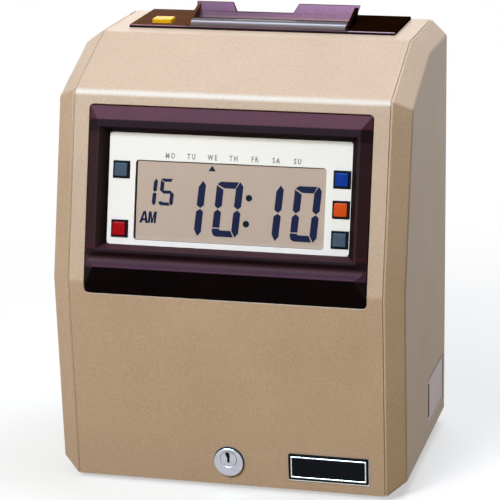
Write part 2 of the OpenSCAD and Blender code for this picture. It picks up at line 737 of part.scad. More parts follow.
module display_board() {
  color("darkgreen") placed() on_upper() outward(-board_h - board_s, -board_h) difference() {
    face_rect(2 * screw_x + head_d, panel_bottom - panel_lap_w, panel_top + panel_lap_w, 1);
    for (x = [-1, 1], t = screw_t) translate([x * screw_x, t]) circle(screw_d / 3 + fit);
  }
}
module display_screws() {
  color("silver") placed() on_upper() for (x = [-1, 1], t = screw_t) {
    rod_y(x * screw_x, t, screw_d / 3, board_h - screw_grip + 1, board_h + board_s);
    rod_y(x * screw_x, t, head_d / 2.4, board_h + board_s, board_h + board_s + head_h);
  }
}
switch_h = panel_in - cap_proud + cap_len + cap_travel + 0.3;
module display_switches() {
  color("silver") placed() on_upper() for (b = button_at) translate([b[0], 0, b[1]])
    outward(-board_h, -switch_h) square(6, center = true);
}
module button_frames() {
  color("black") placed() on_upper() for (b = button_at) translate([b[0], 0, b[1]])
    outward(-board_h, frame_proud - panel_in) difference() {
      square(frame_w, center = true);
      square(tube_w, center = true);
    }
}
module button(i) {
  placed() on_upper() translate([button_at[i][0], 0, button_at[i][1]])
    outward(cap_proud - panel_in - cap_len, cap_proud - panel_in) round_rect(cap_w, cap_w, 0.8);
}
module button_grey_left() { color("slategray") button(0); }
module button_red() { color("firebrick") button(1); }
module button_blue() { color("royalblue") button(2); }
module button_orange() { color("darkorange") button(3); }
module button_grey_right() { color("slategray") button(4); }

// Top insert with card throat

plate_y = slot_rear;
key_wall = 1.6;
module key_block(w, d, z0, z1) { box(span(-key_left, w / 2), span(key_y, d / 2), [z0, z1]); }
// One stretch of the leaning throat plate between two lines across it
module throat_plate(x0, x1, flare0, flare1, h) {
  lean_y = throat_lean * h / throat_h;
  polyhedron([
    [x0, plate_y, case_h], [x1, plate_y, case_h],
    [x1, plate_y + throat_s, case_h], [x0, plate_y + throat_s, case_h],
    [x0 + flare0, plate_y + lean_y, case_h + h], [x1 + flare1, plate_y + lean_y, case_h + h],
    [x1 + flare1, plate_y + throat_s + lean_y, case_h + h],
    [x0 + flare0, plate_y + throat_s + lean_y, case_h + h]],
    [[0, 1, 2, 3], [4, 7, 6, 5], [0, 4, 5, 1], [1, 5, 6, 2], [2, 6, 7, 3], [3, 7, 4, 0]]);
}
module throat_end(x0, x1) {
  along_x(x0, x1) polygon([[slot_front - bar_d, case_h], [slot_rear + throat_s, case_h],
    [slot_rear + throat_s + throat_lean * 0.9, case_h + throat_h * 0.9],
    [slot_rear + throat_lean * 0.9 - 1, case_h + throat_h * 0.9],
    [slot_front - bar_d, case_h + insert_s + 0.4]]);
}
module top_insert() {
  half = slot_l / 2;
  notch_x = -notch_left;
  color("#3a2628") placed() difference() {
    union() {
      box([-insert_w / 2, insert_w / 2], [insert_y0, insert_y1], [case_h, case_h + insert_s]);
      translate([throat_x, 0, 0]) {
        box([-half - throat_s, half + throat_s], [slot_front - throat_s, slot_rear + throat_s],
          [case_h - collar_h, case_h]);
        throat_plate(-half, notch_x - notch_w / 2, -throat_flare, -notch_flare, throat_h);
        throat_plate(notch_x + notch_w / 2, half, notch_flare, throat_flare, throat_h);
        throat_plate(-half, half, 0, 0, notch_h);
        both_sides() throat_end(half, half + throat_s);
      }
      key_block(key_w + 2 * (key_gap + key_wall), key_d + 2 * (key_gap + key_wall),
        case_h - key_guide, case_h);
    }
    box(span(throat_x, half), [slot_front, slot_rear], [case_h - collar_h - 1, case_h + insert_s + 1]);
    box(span(throat_x, half), [slot_front - bar_d, slot_front + 1],
      [case_h + bar_seat, case_h + insert_s + 1]);
    key_block(key_w + 2 * key_gap, key_d + 2 * key_gap, case_h - key_guide - 1, case_h + insert_s + 1);
  }
}
// Low round of a circle that is bar_d wide and bar_h high, let into the insert between the throat ends
module slot_bar() {
  z0 = case_h + bar_seat;
  r = (bar_d * bar_d / 4 + bar_h * bar_h) / (2 * bar_h);
  turn = asin(bar_d / 2 / r);
  color("gray") placed() along_x(throat_x - slot_l / 2 + bar_gap, throat_x + slot_l / 2 - bar_gap)
    polygon([for (k = [-8 : 8])
      [slot_front - bar_d / 2 + r * sin(turn * k / 8), z0 + bar_h - r * (1 - cos(turn * k / 8))]]);
}

key_low = case_h - key_guide + 1;
module yellow_key() {
  color("gold") placed() key_block(key_w, key_d, key_low, case_h + insert_s + key_proud);
}
module key_switch() {
  half = key_w / 2 + key_gap + key_wall + 1;
  z1 = key_low - key_travel - 0.3;
  z0 = case_h - key_guide - 5;
  color("dimgray") placed() translate([-key_left, key_y, 0]) {
    box([-3, 3], [-3, 3], [z0, z1]);
    box([-half - 3, half + 3], [-4, 4], [z0 - sheet, z0]);
    both_sides() box([half, half + 3], [-4, 4], [z0, case_h - wall]);
  }
}

// Lock and nameplate

module lock_barrel() {
  color("silver") placed() on_lower() difference() {
    union() {
      rod_y(0, lock_up, lock_face_d / 2, -lock_proud, 0);
      rod_y(0, lock_up, lock_body_d / 2, 0, lock_len);
    }
    rod_y(0, lock_up + plug_up, plug_d / 2 + fit, -lock_proud - 1, lock_len + 1);
  }
}
module lock_nut() {
  color("silver") placed() on_lower() difference() {
    translate([0, wall, lock_up]) rotate([-90, 30, 0]) cylinder(d = lock_body_d + 6, h = 4, $fn = 6);
    rod_y(0, lock_up, lock_body_d / 2 + fit, wall - 1, wall + 5);
  }
}
key_slot = [1.4, 6, 9];
module lock_core() {
  color("gainsboro") placed() on_lower() translate([0, 0, lock_up + plug_up]) difference() {
    union() {
      rod_y(0, 0, plug_d / 2, -lock_proud, lock_len + 2);
      box([-cam_w / 2, cam_len], [lock_len + 2, lock_len + 4], [-cam_w / 2, cam_w / 2]);
      rod_y(0, 0, plug_d / 4, lock_len + 4, lock_len + 6);
    }
    box([-key_slot[0] / 2, key_slot[0] / 2], [-lock_proud - 1, key_slot[2]], [-1, key_slot[1] - 1.5]);
  }
}
module nameplate() {
  rim = 1.6;
  color("black") placed() on_lower() translate([plate_x, 0, plate_up]) difference() {
    outward(0, plate_s) round_rect(plate_w, plate_h, 1);
    outward(plate_s - 0.4, plate_s + 1) difference() {
      square([plate_w - 2 * rim, plate_h - 2 * rim], center = true);
      square([plate_w - 2 * rim - 1.4, plate_h - 2 * rim - 1.4], center = true);
    }
  }
}

// Card mechanism

plate_hole_z = 75;
plate_hole_d = 44;
plate_foot_w = 14;
module plate_outline() {
  polygon([[mech_y0, sheet], [mech_rear, sheet], [mech_rear, mech_h1], [mech_y1, mech_h1],
    [mech_y1, mech_h0], [mech_y0, mech_h0]]);
}
// Plate on the right, mirrored for the left
module mech_plate() {
  difference() {
    union() {
      along_x(mech_x, mech_x + sheet) plate_outline();
      box([mech_x, mech_x + plate_foot_w], [mech_y0, mech_rear], [sheet, 2 * sheet]);
    }
    rod_x(feed_y, feed_z, rod_r + fit, mech_x - 1, mech_x + sheet + 1);
    rod_x(pinch_y, feed_z, pinch_shaft_d / 2 + fit, mech_x - 1, mech_x + sheet + 1);
    for (d = [-1, 1]) rod_x(rod_line, print_z + d * rod_dz, rod_r + 0.02, mech_x - 1, mech_x + sheet + 1);
    rod_x(pinion_y, feed_z, 4, mech_x - 1, mech_x + sheet + 1);
    rod_x((mech_y0 + mech_rear) / 2, plate_hole_z, plate_hole_d / 2, mech_x - 1, mech_x + sheet + 1);
  }
}
module mech_plate_left() { color("lightsteelblue") placed() mirror([1, 0, 0]) mech_plate(); }
module mech_plate_right() { color("lightsteelblue") placed() mech_plate(); }
module mech_shelf() {
  color("lightsteelblue") placed() difference() {
    box([-mech_x, mech_x], [mech_y0, carriage_y - 1], [shelf_z, shelf_top]);
    rod_z(-pulley_x, belt_y, 3, shelf_z - 1, shelf_top + 1);
    rod_z(pulley_x, belt_y, 2 + fit, shelf_z - 1, shelf_top + 1);
  }
}
module roller_window(d, x, y0, y1) {
  half = d / 2 + roller_gap;
  box(span(x, tyre_w / 2 + roller_gap), [y0 - 1, y1 + 1], span(feed_z, half));
}
print_half = carriage_travel + head_w / 2 + 4;
module chute_front() {
  y0 = guide_front - guide_s;
  color("lightgray") placed() difference() {
    box([-mech_x, mech_x], [y0, guide_front], [guide_z0, guide_top]);
    for (x = [-tyre_x, tyre_x]) roller_window(tyre_d, x, y0, guide_front);
    box(span(0, print_half), [y0 - 1, guide_front + 1], span(print_z, window_h / 2));
  }
}
module chute_rear() {
  y1 = guide_rear + guide_s;
  color("lightgray") placed() difference() {
    union() {
      box([-mech_x, mech_x], [guide_rear, y1], [guide_z0, guide_top]);
      box([-mech_x, mech_x], [guide_front, y1], [guide_z0 - guide_s, guide_z0]);
    }
    for (x = [-tyre_x, tyre_x]) roller_window(pinch_d, x, guide_rear, y1);
    box(span(0, print_half + 0.3), [guide_rear - 1, y1 + 1], span(print_z, window_h / 2 + 0.3));
  }
}
module platen_bar() {
  y0 = guide_rear + guide_s;
  color("dimgray") placed() {
    box([-mech_x, mech_x], [y0, y0 + platen_d], span(print_z, platen_h / 2));
    box(span(0, print_half), [guide_rear, y0], span(print_z, window_h / 2));
  }
}
module carriage_rods() {
  color("silver") placed() for (d = [-1, 1])
    rod_x(rod_line, print_z + d * rod_dz, rod_r, -mech_x - sheet, mech_x + sheet);
}
module print_carriage() {
  half_z = rod_dz + rod_r + 4;
  color("dimgray") placed() difference() {
    box(span(0, carriage_w / 2), [carriage_y, carriage_y + carriage_d], span(print_z, half_z));
    for (d = [-1, 1]) rod_x(rod_line, print_z + d * rod_dz, rod_r + fit, -carriage_w, carriage_w);
  }
}
module print_head() {
  y0 = carriage_y + carriage_d;
  y1 = ribbon_y - 3;
  color("darkgray") placed() {
    box(span(0, head_w / 2), [y0, y1], span(print_z, head_z / 2));
    box(span(0, head_w / 3), [y1, ribbon_y - 0.4], span(print_z, head_z / 4));
    for (f = [1, 2]) box(span(0, head_w / 2 + 2), span(y0 + (y1 - y0) * f / 3, 0.8),
      span(print_z, head_z / 2 + 2));
  }
}
module feed_shaft() {
  color("silver") placed() rod_x(feed_y, feed_z, rod_r, -mech_x - sheet - 2, gear_x + gear_w);
}
module feed_tyres() {
  color("dimgray") placed() for (x = [-tyre_x, tyre_x]) difference() {
    rod_x(feed_y, feed_z, tyre_d / 2, x - tyre_w / 2, x + tyre_w / 2);
    rod_x(feed_y, feed_z, rod_r, x - tyre_w, x + tyre_w);
  }
}
module feed_gear() {
  color("ivory") placed() difference() {
    union() {
      translate([0, feed_y, feed_z]) along_x(gear_x, gear_x + gear_w) polygon(gear_points(feed_teeth));
      rod_x(feed_y, feed_z, rod_r + 3, gear_x - 1, gear_x + gear_w);
    }
    rod_x(feed_y, feed_z, rod_r, gear_x - 2, gear_x + gear_w + 1);
  }
}
module pinch_roller() {
  color("gray") placed() {
    rod_x(pinch_y, feed_z, pinch_shaft_d / 2, -mech_x - sheet - 2, mech_x + sheet + 2);
    for (x = [-tyre_x, tyre_x]) rod_x(pinch_y, feed_z, pinch_d / 2, x - tyre_w / 2, x + tyre_w / 2);
  }
}
module feed_motor() {
  color("silver") placed() difference() {
    rod_x(pinion_y, feed_z, feed_motor_d / 2, mech_x - feed_motor_l, mech_x);
    rod_x(pinion_y, feed_z, 1.5 + fit, mech_x - 12, mech_x + 1);
  }
}
module motor_pinion() {
  color("goldenrod") placed() {
    translate([0, pinion_y, feed_z]) rotate([180 / pinion_teeth, 0, 0])
      along_x(gear_x, gear_x + gear_w) polygon(gear_points(pinion_teeth));
    rod_x(pinion_y, feed_z, 1.5, mech_x - 10, gear_x + gear_w);
  }
}

// Carriage drive and ribbon

belt_z = shelf_top + 1;
module belt_loop(r) {
  translate([-pulley_x, belt_y]) circle(r);
  translate([pulley_x, belt_y]) circle(r);
  translate([-pulley_x, belt_y - r]) square([2 * pulley_x, 2 * r]);
}
module carriage_belt() {
  color("black") placed() translate([0, 0, belt_z]) linear_extrude(belt_w) difference() {
    belt_loop(pulley_d / 2 + fit + belt_s);
    belt_loop(pulley_d / 2 + fit);
  }
}
module motor_pulley() {
  color("silver") placed() {
    rod_z(-pulley_x, belt_y, pulley_d / 2, belt_z, belt_z + belt_w);
    rod_z(-pulley_x, belt_y, 1.5, shelf_z - 10, belt_z);
  }
}
module idler_pulley() {
  color("silver") placed() {
    rod_z(pulley_x, belt_y, pulley_d / 2, belt_z, belt_z + belt_w);
    rod_z(pulley_x, belt_y, 2, shelf_z - 2, belt_z);
  }
}
module carriage_motor() {
  color("silver") placed() difference() {
    rod_z(-pulley_x, belt_y, belt_motor_r, shelf_z - belt_motor_l, shelf_z);
    rod_z(-pulley_x, belt_y, 1.5 + fit, shelf_z - 12, shelf_z + 1);
  }
}
knob_x = -30;
module ribbon_cassette() {
  y1 = cassette_y + cassette_d;
  z1 = shelf_top + cassette_h;
  color("black") placed() difference() {
    union() {
      box(span(0, arm_x + arm_w), [cassette_y, y1], [shelf_top, z1]);
      both_sides() box([arm_x, arm_x + arm_w], [y1, ribbon_y], span(print_z, ribbon_h / 2));
    }
    rod_z(knob_x, (cassette_y + y1) / 2, 2 + fit, z1 - 8, z1 + 1);
  }
}
module ribbon_band() {
  color("#202038") placed() box(span(0, arm_x + arm_w), [ribbon_y, ribbon_y + 0.3],
    span(print_z, ribbon_h / 2 - 0.5));
}
module ribbon_knob() {
  z1 = shelf_top + cassette_h;
  y = cassette_y + cassette_d / 2;
  color("royalblue") placed() {
    rod_z(knob_x, y, knob_d / 2, z1 + 0.3, z1 + 0.3 + knob_h);
    rod_z(knob_x, y, 2, z1 - 7, z1 + 0.3);
    for (a = [0 : 30 : 330]) translate([knob_x, y, z1 + 0.3]) rotate([0, 0, a])
      translate([knob_d / 2, 0, 0]) cylinder(r = 0.8, h = knob_h);
  }
}

// Electrics

module power_inlet() {
  w = inlet_w - 0.6;
  h = inlet_h - 0.6;
  color("black") placed() translate([-inlet_x, 0, inlet_z]) difference() {
    union() {
      box(span(0, w / 2), [rear_in - inlet_depth, case_d], span(0, h / 2));
      box(span(0, w / 2 + 3), [case_d, case_d + 1.4], span(0, h / 2 + 3));
    }
    box(span(0, w / 2 - 1.4), [rear_in - inlet_depth + 2, case_d + 2], span(0, h / 2 - 1.4));
  }
}
module transformer_core() {
  color("dimgray") placed() translate([core_x, core_y, sheet]) difference() {
    box(span(0, core_w / 2), [0, core_d], [0, core_h]);
    for (s = [-1, 1]) box(span(s * core_w / 4, core_w / 12), [-1, core_d + 1],
      [core_h / 6, core_h * 5 / 6]);
  }
}
module transformer_coil() {
  gap = 0.3;
  color("goldenrod") placed() translate([core_x, core_y, sheet + core_h / 2]) difference() {
    box(span(0, core_w / 3 - gap), [-coil_out, core_d + coil_out], span(0, core_h / 3 - gap));
    box(span(0, core_w / 6 + gap), [-gap, core_d + gap], span(0, core_h / 3 + 1));
  }
}
main_x = [-main_w / 2 + 6, main_w / 2 - 6];
main_z = [main_z0 + 6, main_z0 + main_h - 6];
main_y = rear_in - main_off - board_s;
module main_board() {
  color("darkgreen") placed() difference() {
    union() {
      box(span(0, main_w / 2), [main_y, main_y + board_s], [main_z0, main_z0 + main_h]);
      for (x = main_x, z = main_z) rod_y(x, z, boss_d / 2, main_y + board_s, rear_in);
    }
    for (x = main_x, z = main_z) rod_y(x, z, screw_d / 2, main_y - 1, rear_in + 1);
  }
}
chip_h = 3;
can_d = 9;
can_h = 5.5;
module board_parts() {
  color("black") placed() {
    for (c = [[-0.3, 0.33, 0.19, 0.1], [0, 0.33, 0.24, 0.12], [0.28, 0.37, 0.12, 0.15],
        [-0.13, 0.7, 0.2, 0.08]])
      box(span(c[0] * main_w, c[2] * main_w / 2), [main_y - chip_h, main_y],
        span(main_z0 + c[1] * main_h, c[3] * main_h / 2));
    for (x = [0.2, 0.29, 0.38])
      rod_y(x * main_w, main_z0 + 0.75 * main_h, can_d / 2, main_y - can_h, main_y);
    box([-0.4 * main_w, -0.17 * main_w], [main_y - can_h, main_y], span(main_z0 + 0.13 * main_h, can_d / 2));
  }
}
module battery_pack() {
  apart = 0.8;
  tray_d = 2 * battery_d + apart + 2;
  color("steelblue") placed() translate([battery_x, core_y, sheet]) {
    for (k = [0, 1])
      rod_x(battery_d / 2 + 1 + k * (battery_d + apart), battery_d / 2 + 1, battery_d / 2,
        0.5, battery_l + 1.5);
    box([0, battery_l + 2], [0, tray_d], [0, 1.6]);
    for (x = [0, battery_l + 1]) box([x, x + 1], [0, tray_d], [0, battery_d]);
  }
}

base_plate();
rear_panel();
left_cheek();
right_cheek();
access_cover();
feet();
rear_screws();
cheek_screws();
hinge_brackets();
hinge_pins();
power_inlet();
transformer_core();
transformer_coil();
main_board();
board_parts();
battery_pack();
mech_plate_left();
mech_plate_right();
mech_shelf();
chute_front();
chute_rear();
platen_bar();
carriage_rods();
feed_motor();
carriage_motor();
ribbon_cassette();
ribbon_band();
carriage_belt();
feed_shaft();
feed_tyres();
feed_gear();
pinch_roller();
motor_pinion();
print_carriage();
print_head();
motor_pulley();
idler_pulley();
ribbon_knob();
front_cover();
bezel();
display_panel();
lcd_module();
display_frame();
display_board();
display_switches();
button_frames();
display_screws();
top_insert();
slot_bar();
key_switch();
lock_barrel();
lock_nut();
nameplate();
button_grey_left();
button_red();
button_blue();
button_orange();
button_grey_right();
yellow_key();
lock_core();
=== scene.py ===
"""A desktop time recorder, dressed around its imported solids: shell, display, card throat, lock and printer."""
import json
import math

import bpy
from mathutils import Matrix, Vector


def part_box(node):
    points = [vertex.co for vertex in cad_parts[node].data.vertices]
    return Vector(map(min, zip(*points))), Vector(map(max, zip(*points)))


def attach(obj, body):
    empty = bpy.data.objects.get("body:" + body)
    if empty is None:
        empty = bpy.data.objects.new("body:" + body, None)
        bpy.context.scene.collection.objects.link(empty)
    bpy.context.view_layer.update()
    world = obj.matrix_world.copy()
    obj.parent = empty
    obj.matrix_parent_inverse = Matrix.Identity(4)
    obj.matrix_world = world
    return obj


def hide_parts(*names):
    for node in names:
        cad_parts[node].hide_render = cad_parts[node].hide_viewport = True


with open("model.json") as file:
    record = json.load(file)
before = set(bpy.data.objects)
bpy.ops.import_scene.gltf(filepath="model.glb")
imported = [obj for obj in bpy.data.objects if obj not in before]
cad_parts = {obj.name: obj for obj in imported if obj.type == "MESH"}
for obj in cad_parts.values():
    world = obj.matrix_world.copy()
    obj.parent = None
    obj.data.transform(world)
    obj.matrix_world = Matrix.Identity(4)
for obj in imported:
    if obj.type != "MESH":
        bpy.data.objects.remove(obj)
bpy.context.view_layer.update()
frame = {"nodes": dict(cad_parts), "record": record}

MM = 0.001
nodes = frame["nodes"]
record = frame["record"]
body_of = {n: body for body, members in record["behaviour"]["bodies"].items() for n in members}
slot_of = {row["node"]: row["material_slot"] for row in record["subparts"]}

# Sizes of the case in millimetres, as the solids have them
MID_Y = 82.369
FOOT_H = 3.0
CASE_H, CASE_D = 279.0, 166.0
SEAM_X = 102.7
CREASE_H, RIDGE_H, RIDGE_BACK, TOE_BACK = 134.5, 253.5, 27.5, 8.0
RIDGE_R, SHOULDER_BACK = 7.0, 91.0
LEAN = math.atan2(RIDGE_BACK, RIDGE_H - CREASE_H)
TOE = math.atan2(TOE_BACK, CREASE_H)
PANEL_X, PANEL_LOW, PANEL_TOP, PANEL_IN = 78.75, 25.1, 96.2, 4.0
LCD_IN, LIP_LOW = 5.5, 9.8
WELL_X, WELL_TOP = PANEL_X + 4.8, PANEL_TOP + 3.2
LOCK_UP, PLUG_UP, LOCK_R = 16.5, 2.2, 9.7
INSERT_FRONT, INSERT_S = 106.5, 2.0
INSERT_TOP = CASE_H + INSERT_S + FOOT_H
MAIN_FRONT, MAIN_W, MAIN_LOW, MAIN_H = 156.9, 150.0, 60.0, 120.0
BOARD_BACK = 13.6
PIN_PITCH = 2.54
SMOOTH_ANGLE = 32

# Places of work: the case, its two front faces, and the same faces laid flat as x, up, out
CASE = Matrix.Translation(Vector((0, -MID_Y, FOOT_H)) * MM)
UPPER = CASE @ Matrix.Translation((0, 0, CREASE_H * MM)) @ Matrix.Rotation(-LEAN, 4, "X")
LOWER = CASE @ Matrix.Translation((0, TOE_BACK * MM, 0)) @ Matrix.Rotation(TOE, 4, "X")
STAND_UP = Matrix.Rotation(math.pi / 2, 4, "X")
UPPER_FACE = UPPER @ STAND_UP
LOWER_FACE = LOWER @ STAND_UP
BACK_FACE = CASE @ Matrix.Translation((0, CASE_D * MM, 0)) @ Matrix.Rotation(math.pi, 4, "Z") @ STAND_UP
BOARD_FACE = CASE @ Matrix.Translation((0, MAIN_FRONT * MM, 0)) @ STAND_UP
HOOD_BOARD_FACE = (UPPER @ Matrix.Translation((0, BOARD_BACK * MM, 0)) @ Matrix.Rotation(math.pi, 4, "Z")
                   @ STAND_UP)
ALONG_X = Matrix.Rotation(math.pi / 2, 4, "Y")
SIDEWAYS = Matrix(((0, 0, 1, 0), (1, 0, 0, 0), (0, 1, 0, 0), (0, 0, 0, 1)))


# Materials

def linear(code):
    """An sRGB hex colour as linear values."""
    parts = [int(code[i:i + 2], 16) / 255 for i in (1, 3, 5)]
    return tuple(p / 12.92 if p <= 0.04045 else ((p + 0.055) / 1.055) ** 2.4 for p in parts) + (1.0,)


def add(tree, kind, sockets=None, links=None, **settings):
    """Adds a node with its settings, socket values and incoming links."""
    made = tree.nodes.new("ShaderNode" + kind)
    for key, value in settings.items():
        setattr(made, key, value)
    for key, value in (sockets or {}).items():
        made.inputs[key].default_value = value
    for key, (source, out) in (links or {}).items():
        tree.links.new(source.outputs[out], made.inputs[key])
    return made


def finish(name, colours, patch_mm, rough, grain_mm, grain_depth_mm, stretch=(1, 1, 1), speckle=0.0, lines=None,
           **shader):
    """A surface whose colour drifts between two tones over patch_mm, with a grain of grain_mm.

    speckle is the grain's share in the colour; lines gives drawn or stacked lines as axis, pitch and depth in mm.
    """
    mat = bpy.data.materials.new(name)
    mat.use_nodes = True
    tree = mat.node_tree
    principled = tree.nodes["Principled BSDF"]
    place = add(tree, "TexCoord")
    turned = add(tree, "Mapping", {"Scale": stretch}, {"Vector": (place, "Object")})
    patches = add(tree, "TexNoise", {"Scale": 1000 / patch_mm, "Detail": 4.0, "Roughness": 0.55},
                  {"Vector": (turned, "Vector")})
    grain = add(tree, "TexNoise", {"Scale": 1000 / grain_mm, "Detail": 2.0, "Roughness": 0.6},
                {"Vector": (turned, "Vector")})
    tone = add(tree, "Mix", {0: speckle}, {2: (patches, "Fac"), 3: (grain, "Fac")})
    relief = add(tree, "Bump", {"Strength": 1.0, "Distance": grain_depth_mm * MM}, {"Height": (grain, "Fac")})
    if lines:
        axis, pitch_mm, line_depth_mm = lines
        rows = add(tree, "TexWave", {"Scale": 100 * math.pi / pitch_mm, "Distortion": 0.4},
                   {"Vector": (place, "Object")}, bands_direction=axis)
        tone = add(tree, "Mix", {0: 0.6}, {2: (tone, 0), 3: (rows, "Fac")})
        relief = add(tree, "Bump", {"Strength": 1.0, "Distance": line_depth_mm * MM},
                     {"Height": (rows, "Fac"), "Normal": (relief, "Normal")})
    tones = add(tree, "ValToRGB", None, {"Fac": (tone, 0)})
    for mark, position, colour in zip(tones.color_ramp.elements, (0.32, 0.68), colours):
        mark.position = position
        mark.color = linear(colour)
    sheen = add(tree, "MapRange", {"To Min": rough[0], "To Max": rough[1]}, {"Value": (grain, "Fac")})
    for socket, source, out in (("Base Color", tones, "Color"), ("Roughness", sheen, "Result"),
                                ("Normal", relief, "Normal")):
        tree.links.new(source.outputs[out], principled.inputs[socket])
    for socket, value in shader.items():
        principled.inputs[socket.replace("_", " ")].default_value = value
    return mat


def in_bands(mat, place, axis, stops):
    """Lays bands of tone over a finish, given as mm along an axis of a place of work and the tone there."""
    tree = mat.node_tree
    principled = tree.nodes["Principled BSDF"]
    under = principled.inputs["Base Color"].links[0].from_socket
    along_axis = place.to_3x3() @ Vector(axis)
    zero = place.translation.dot(along_axis)
    low, high = stops[0][0] - 1, stops[-1][0] + 1
    spot = add(tree, "TexCoord")
    along = add(tree, "VectorMath", {1: along_axis}, {0: (spot, "Object")}, operation="DOT_PRODUCT")
    share = add(tree, "MapRange", {"From Min": zero + low * MM, "From Max": zero + high * MM},
                {"Value": (along, "Value")})
    tones = add(tree, "ValToRGB", None, {"Fac": (share, "Result")})
    marks = tones.color_ramp.elements
    for _ in stops[2:]:
        marks.new(0.5)
    for mark, (mm, _) in zip(marks, stops):
        mark.position = (mm - low) / (high - low)
    for mark, (_, tone) in zip(marks, stops):
        mark.color = linear(tone)
    banded = add(tree, "Mix", {0: 1.0}, {6: (tones, "Color")}, data_type="RGBA", blend_type="MULTIPLY")
    tree.links.new(under, banded.inputs[7])
    tree.links.new(banded.outputs[2], principled.inputs["Base Color"])
    return mat


# Case: ABS moulded in a spark-eroded tool, so it is satin with a fine pebble; the real pebble of 0.3 mm is drawn
# at 1.5 mm so that it shows
case_abs = finish("case_abs_moulded", ("#b8a088", "#cab39b"), 60, (0.42, 0.54), 1.5, 0.06, speckle=0.6, IOR=1.53,
                  Specular_IOR_Level=0.3)
# Side cover: the same plastic from another batch, a little paler and greyer
cover_abs = finish("cover_abs_moulded", ("#d8cad6", "#e2d6e0"), 40, (0.4, 0.5), 1.5, 0.05, speckle=0.6, IOR=1.53)
# Corners of the bezel: dark brown ABS from a smoother tool, whose sheen has a violet tint
VIOLET = (1.0, 0.62, 0.8, 1.0)
dark_abs = finish("dark_abs_moulded", ("#130709", "#1b0c10"), 30, (0.44, 0.56), 1.2, 0.012, speckle=0.5, IOR=1.53,
                  Specular_IOR_Level=0.28, Specular_Tint=VIOLET)
# Bezel: the same plastic with bands of painted light up the front: painted violet highlights on its bevels and lip,
# and painted shade that makes the steps between them nearly black
bezel_painted_light = in_bands(
    finish("bezel_abs_painted_light_bands", ("#d4d4d4", "#ffffff"), 30, (0.56, 0.68), 1.2, 0.012, speckle=0.5, IOR=1.53,
           Specular_IOR_Level=0.07, Specular_Tint=VIOLET), UPPER_FACE, (0, 1, 0),
    ((9.6, "#050102"), (10.4, "#4a2f43"), (12.6, "#4a2f3c"), (15.5, "#4a3337"), (18.0, "#1c0c10"),
     (21.6, "#180a0d"), (22.4, "#3f1c22"), (24.9, "#3f1c22"), (25.4, "#301d1f"), (95.6, "#301d1f"),
     (96.4, "#160708"), (103.8, "#160708"), (104.6, "#542f37"), (113.0, "#57323d")))
# Well around the panel: the same plastic, left dull by the tool, and darkened by painted shade beside the white
# panel;
# its left wall goes from brown to black towards the panel in painted shade
well_painted_shade = in_bands(
    finish("bezel_well_dull_painted_shade", ("#d4d4d4", "#ffffff"), 30, (0.7, 0.8), 1.2, 0.012, speckle=0.5, IOR=1.53,
           Specular_IOR_Level=0.02), UPPER_FACE, (1, 0, 0),
    ((-83.5, "#40302f"), (-79.0, "#0e0607"), (-74.0, "#1a0b0d"), (83.5, "#1a0b0d")))
# Underside of the bezel's lip: the same plastic with a rough pebble and little gloss, painted near black as the
# shade under the lip
lip_underside_painted_shade = finish("bezel_underside_painted_shade", ("#0a0506", "#110809"), 30, (0.75, 0.85), 1.2, 0.02, speckle=0.5,
                   IOR=1.53, Specular_IOR_Level=0.01)
# Top insert: brown ABS with a coarse pebble, matt even when seen flat, with painted shade that makes it black below
# its top, down its cut edges, and painted shade that darkens it from the key's end towards the other
insert_painted_shade = in_bands(in_bands(
    finish("insert_abs_painted_shade", ("#d4d4d4", "#ffffff"), 30, (0.62, 0.74), 1.4, 0.03, speckle=0.5, IOR=1.53,
           Specular_IOR_Level=0.0), CASE, (0, 0, 1), ((280.4, "#0a0504"), (280.9, "#6a4632"), (282.0, "#6a4632"))),
    CASE, (1, 0, 0), ((-50.0, "#ffffff"), (58.0, "#4e4038")))
# Card throat: polished, with a painted violet sheen that grows paler towards its free end, painted shade that makes
# it black at the slot, and a painted highlight at its foot
throat_painted_light = in_bands(in_bands(
    finish("throat_painted_sheen_and_shade", ("#d4d4d4", "#ffffff"), 30, (0.5, 0.6), 1.4, 0.02, speckle=0.5, IOR=1.53,
           Specular_IOR_Level=0.06, Specular_Tint=VIOLET), CASE, (0, 0, 1),
    ((280.0, "#0a0504"), (281.5, "#0a0504"), (281.9, "#a88686"), (282.6, "#9c7c86"), (283.4, "#8f6982"),
     (291.0, "#a67ea4"))), CASE, (1, 0, 0), ((-50.0, "#c0bcc0"), (0.0, "#e0dce0"), (50.0, "#ffffff")))
# Front edge of the insert: polished, with painted violet highlights at both ends, palest at the far one, and painted
# shadow of the bar where it lies in front of the bar
insert_edge_painted_light = in_bands(
    finish("insert_edge_painted_highlight", ("#e4e4e4", "#ffffff"), 30, (0.4, 0.5), 1.2, 0.012, IOR=1.53,
           Specular_IOR_Level=0.2, Specular_Tint=VIOLET), CASE, (1, 0, 0),
    ((-52.0, "#a5747c"), (-50.0, "#522c22"), (58.0, "#522c22"), (60.0, "#c6adc0")))
# Frames, switches and chips: black ABS, moulded matt, so that they stay black in the light; the same black is
# painted shade on the ring at the window, in the side cover's notch and edges, and on the lock
black_abs_and_shade = finish("black_abs_and_painted_shade", ("#070708", "#0e0e10"), 25, (0.44, 0.56), 0.8, 0.012, IOR=1.53,
                   Specular_IOR_Level=0.05)
# Bare nameplate: black lacquer on metal, slightly blue and matt
plate_lacquer = finish("plate_black_lacquer", ("#080a10", "#0d0f16"), 9, (0.46, 0.56), 1.4, 0.012, speckle=0.5,
                       IOR=1.5, Specular_IOR_Level=0.06)
# Panel: white printed polycarbonate sheet, nearly smooth
panel_sheet = finish("panel_printed_sheet", ("#f3f9fd", "#f7fcff"), 60, (0.3, 0.4), 0.8, 0.003, IOR=1.58,
                     Specular_IOR_Level=0.35)
# Display: polarising film over the cell, warm grey and faintly mottled
cell_film = finish("display_polariser_film", ("#b5a498", "#beaea2"), 35, (0.36, 0.48), 1.2, 0.004, speckle=0.4,
                   IOR=1.49, Specular_IOR_Level=0.3)
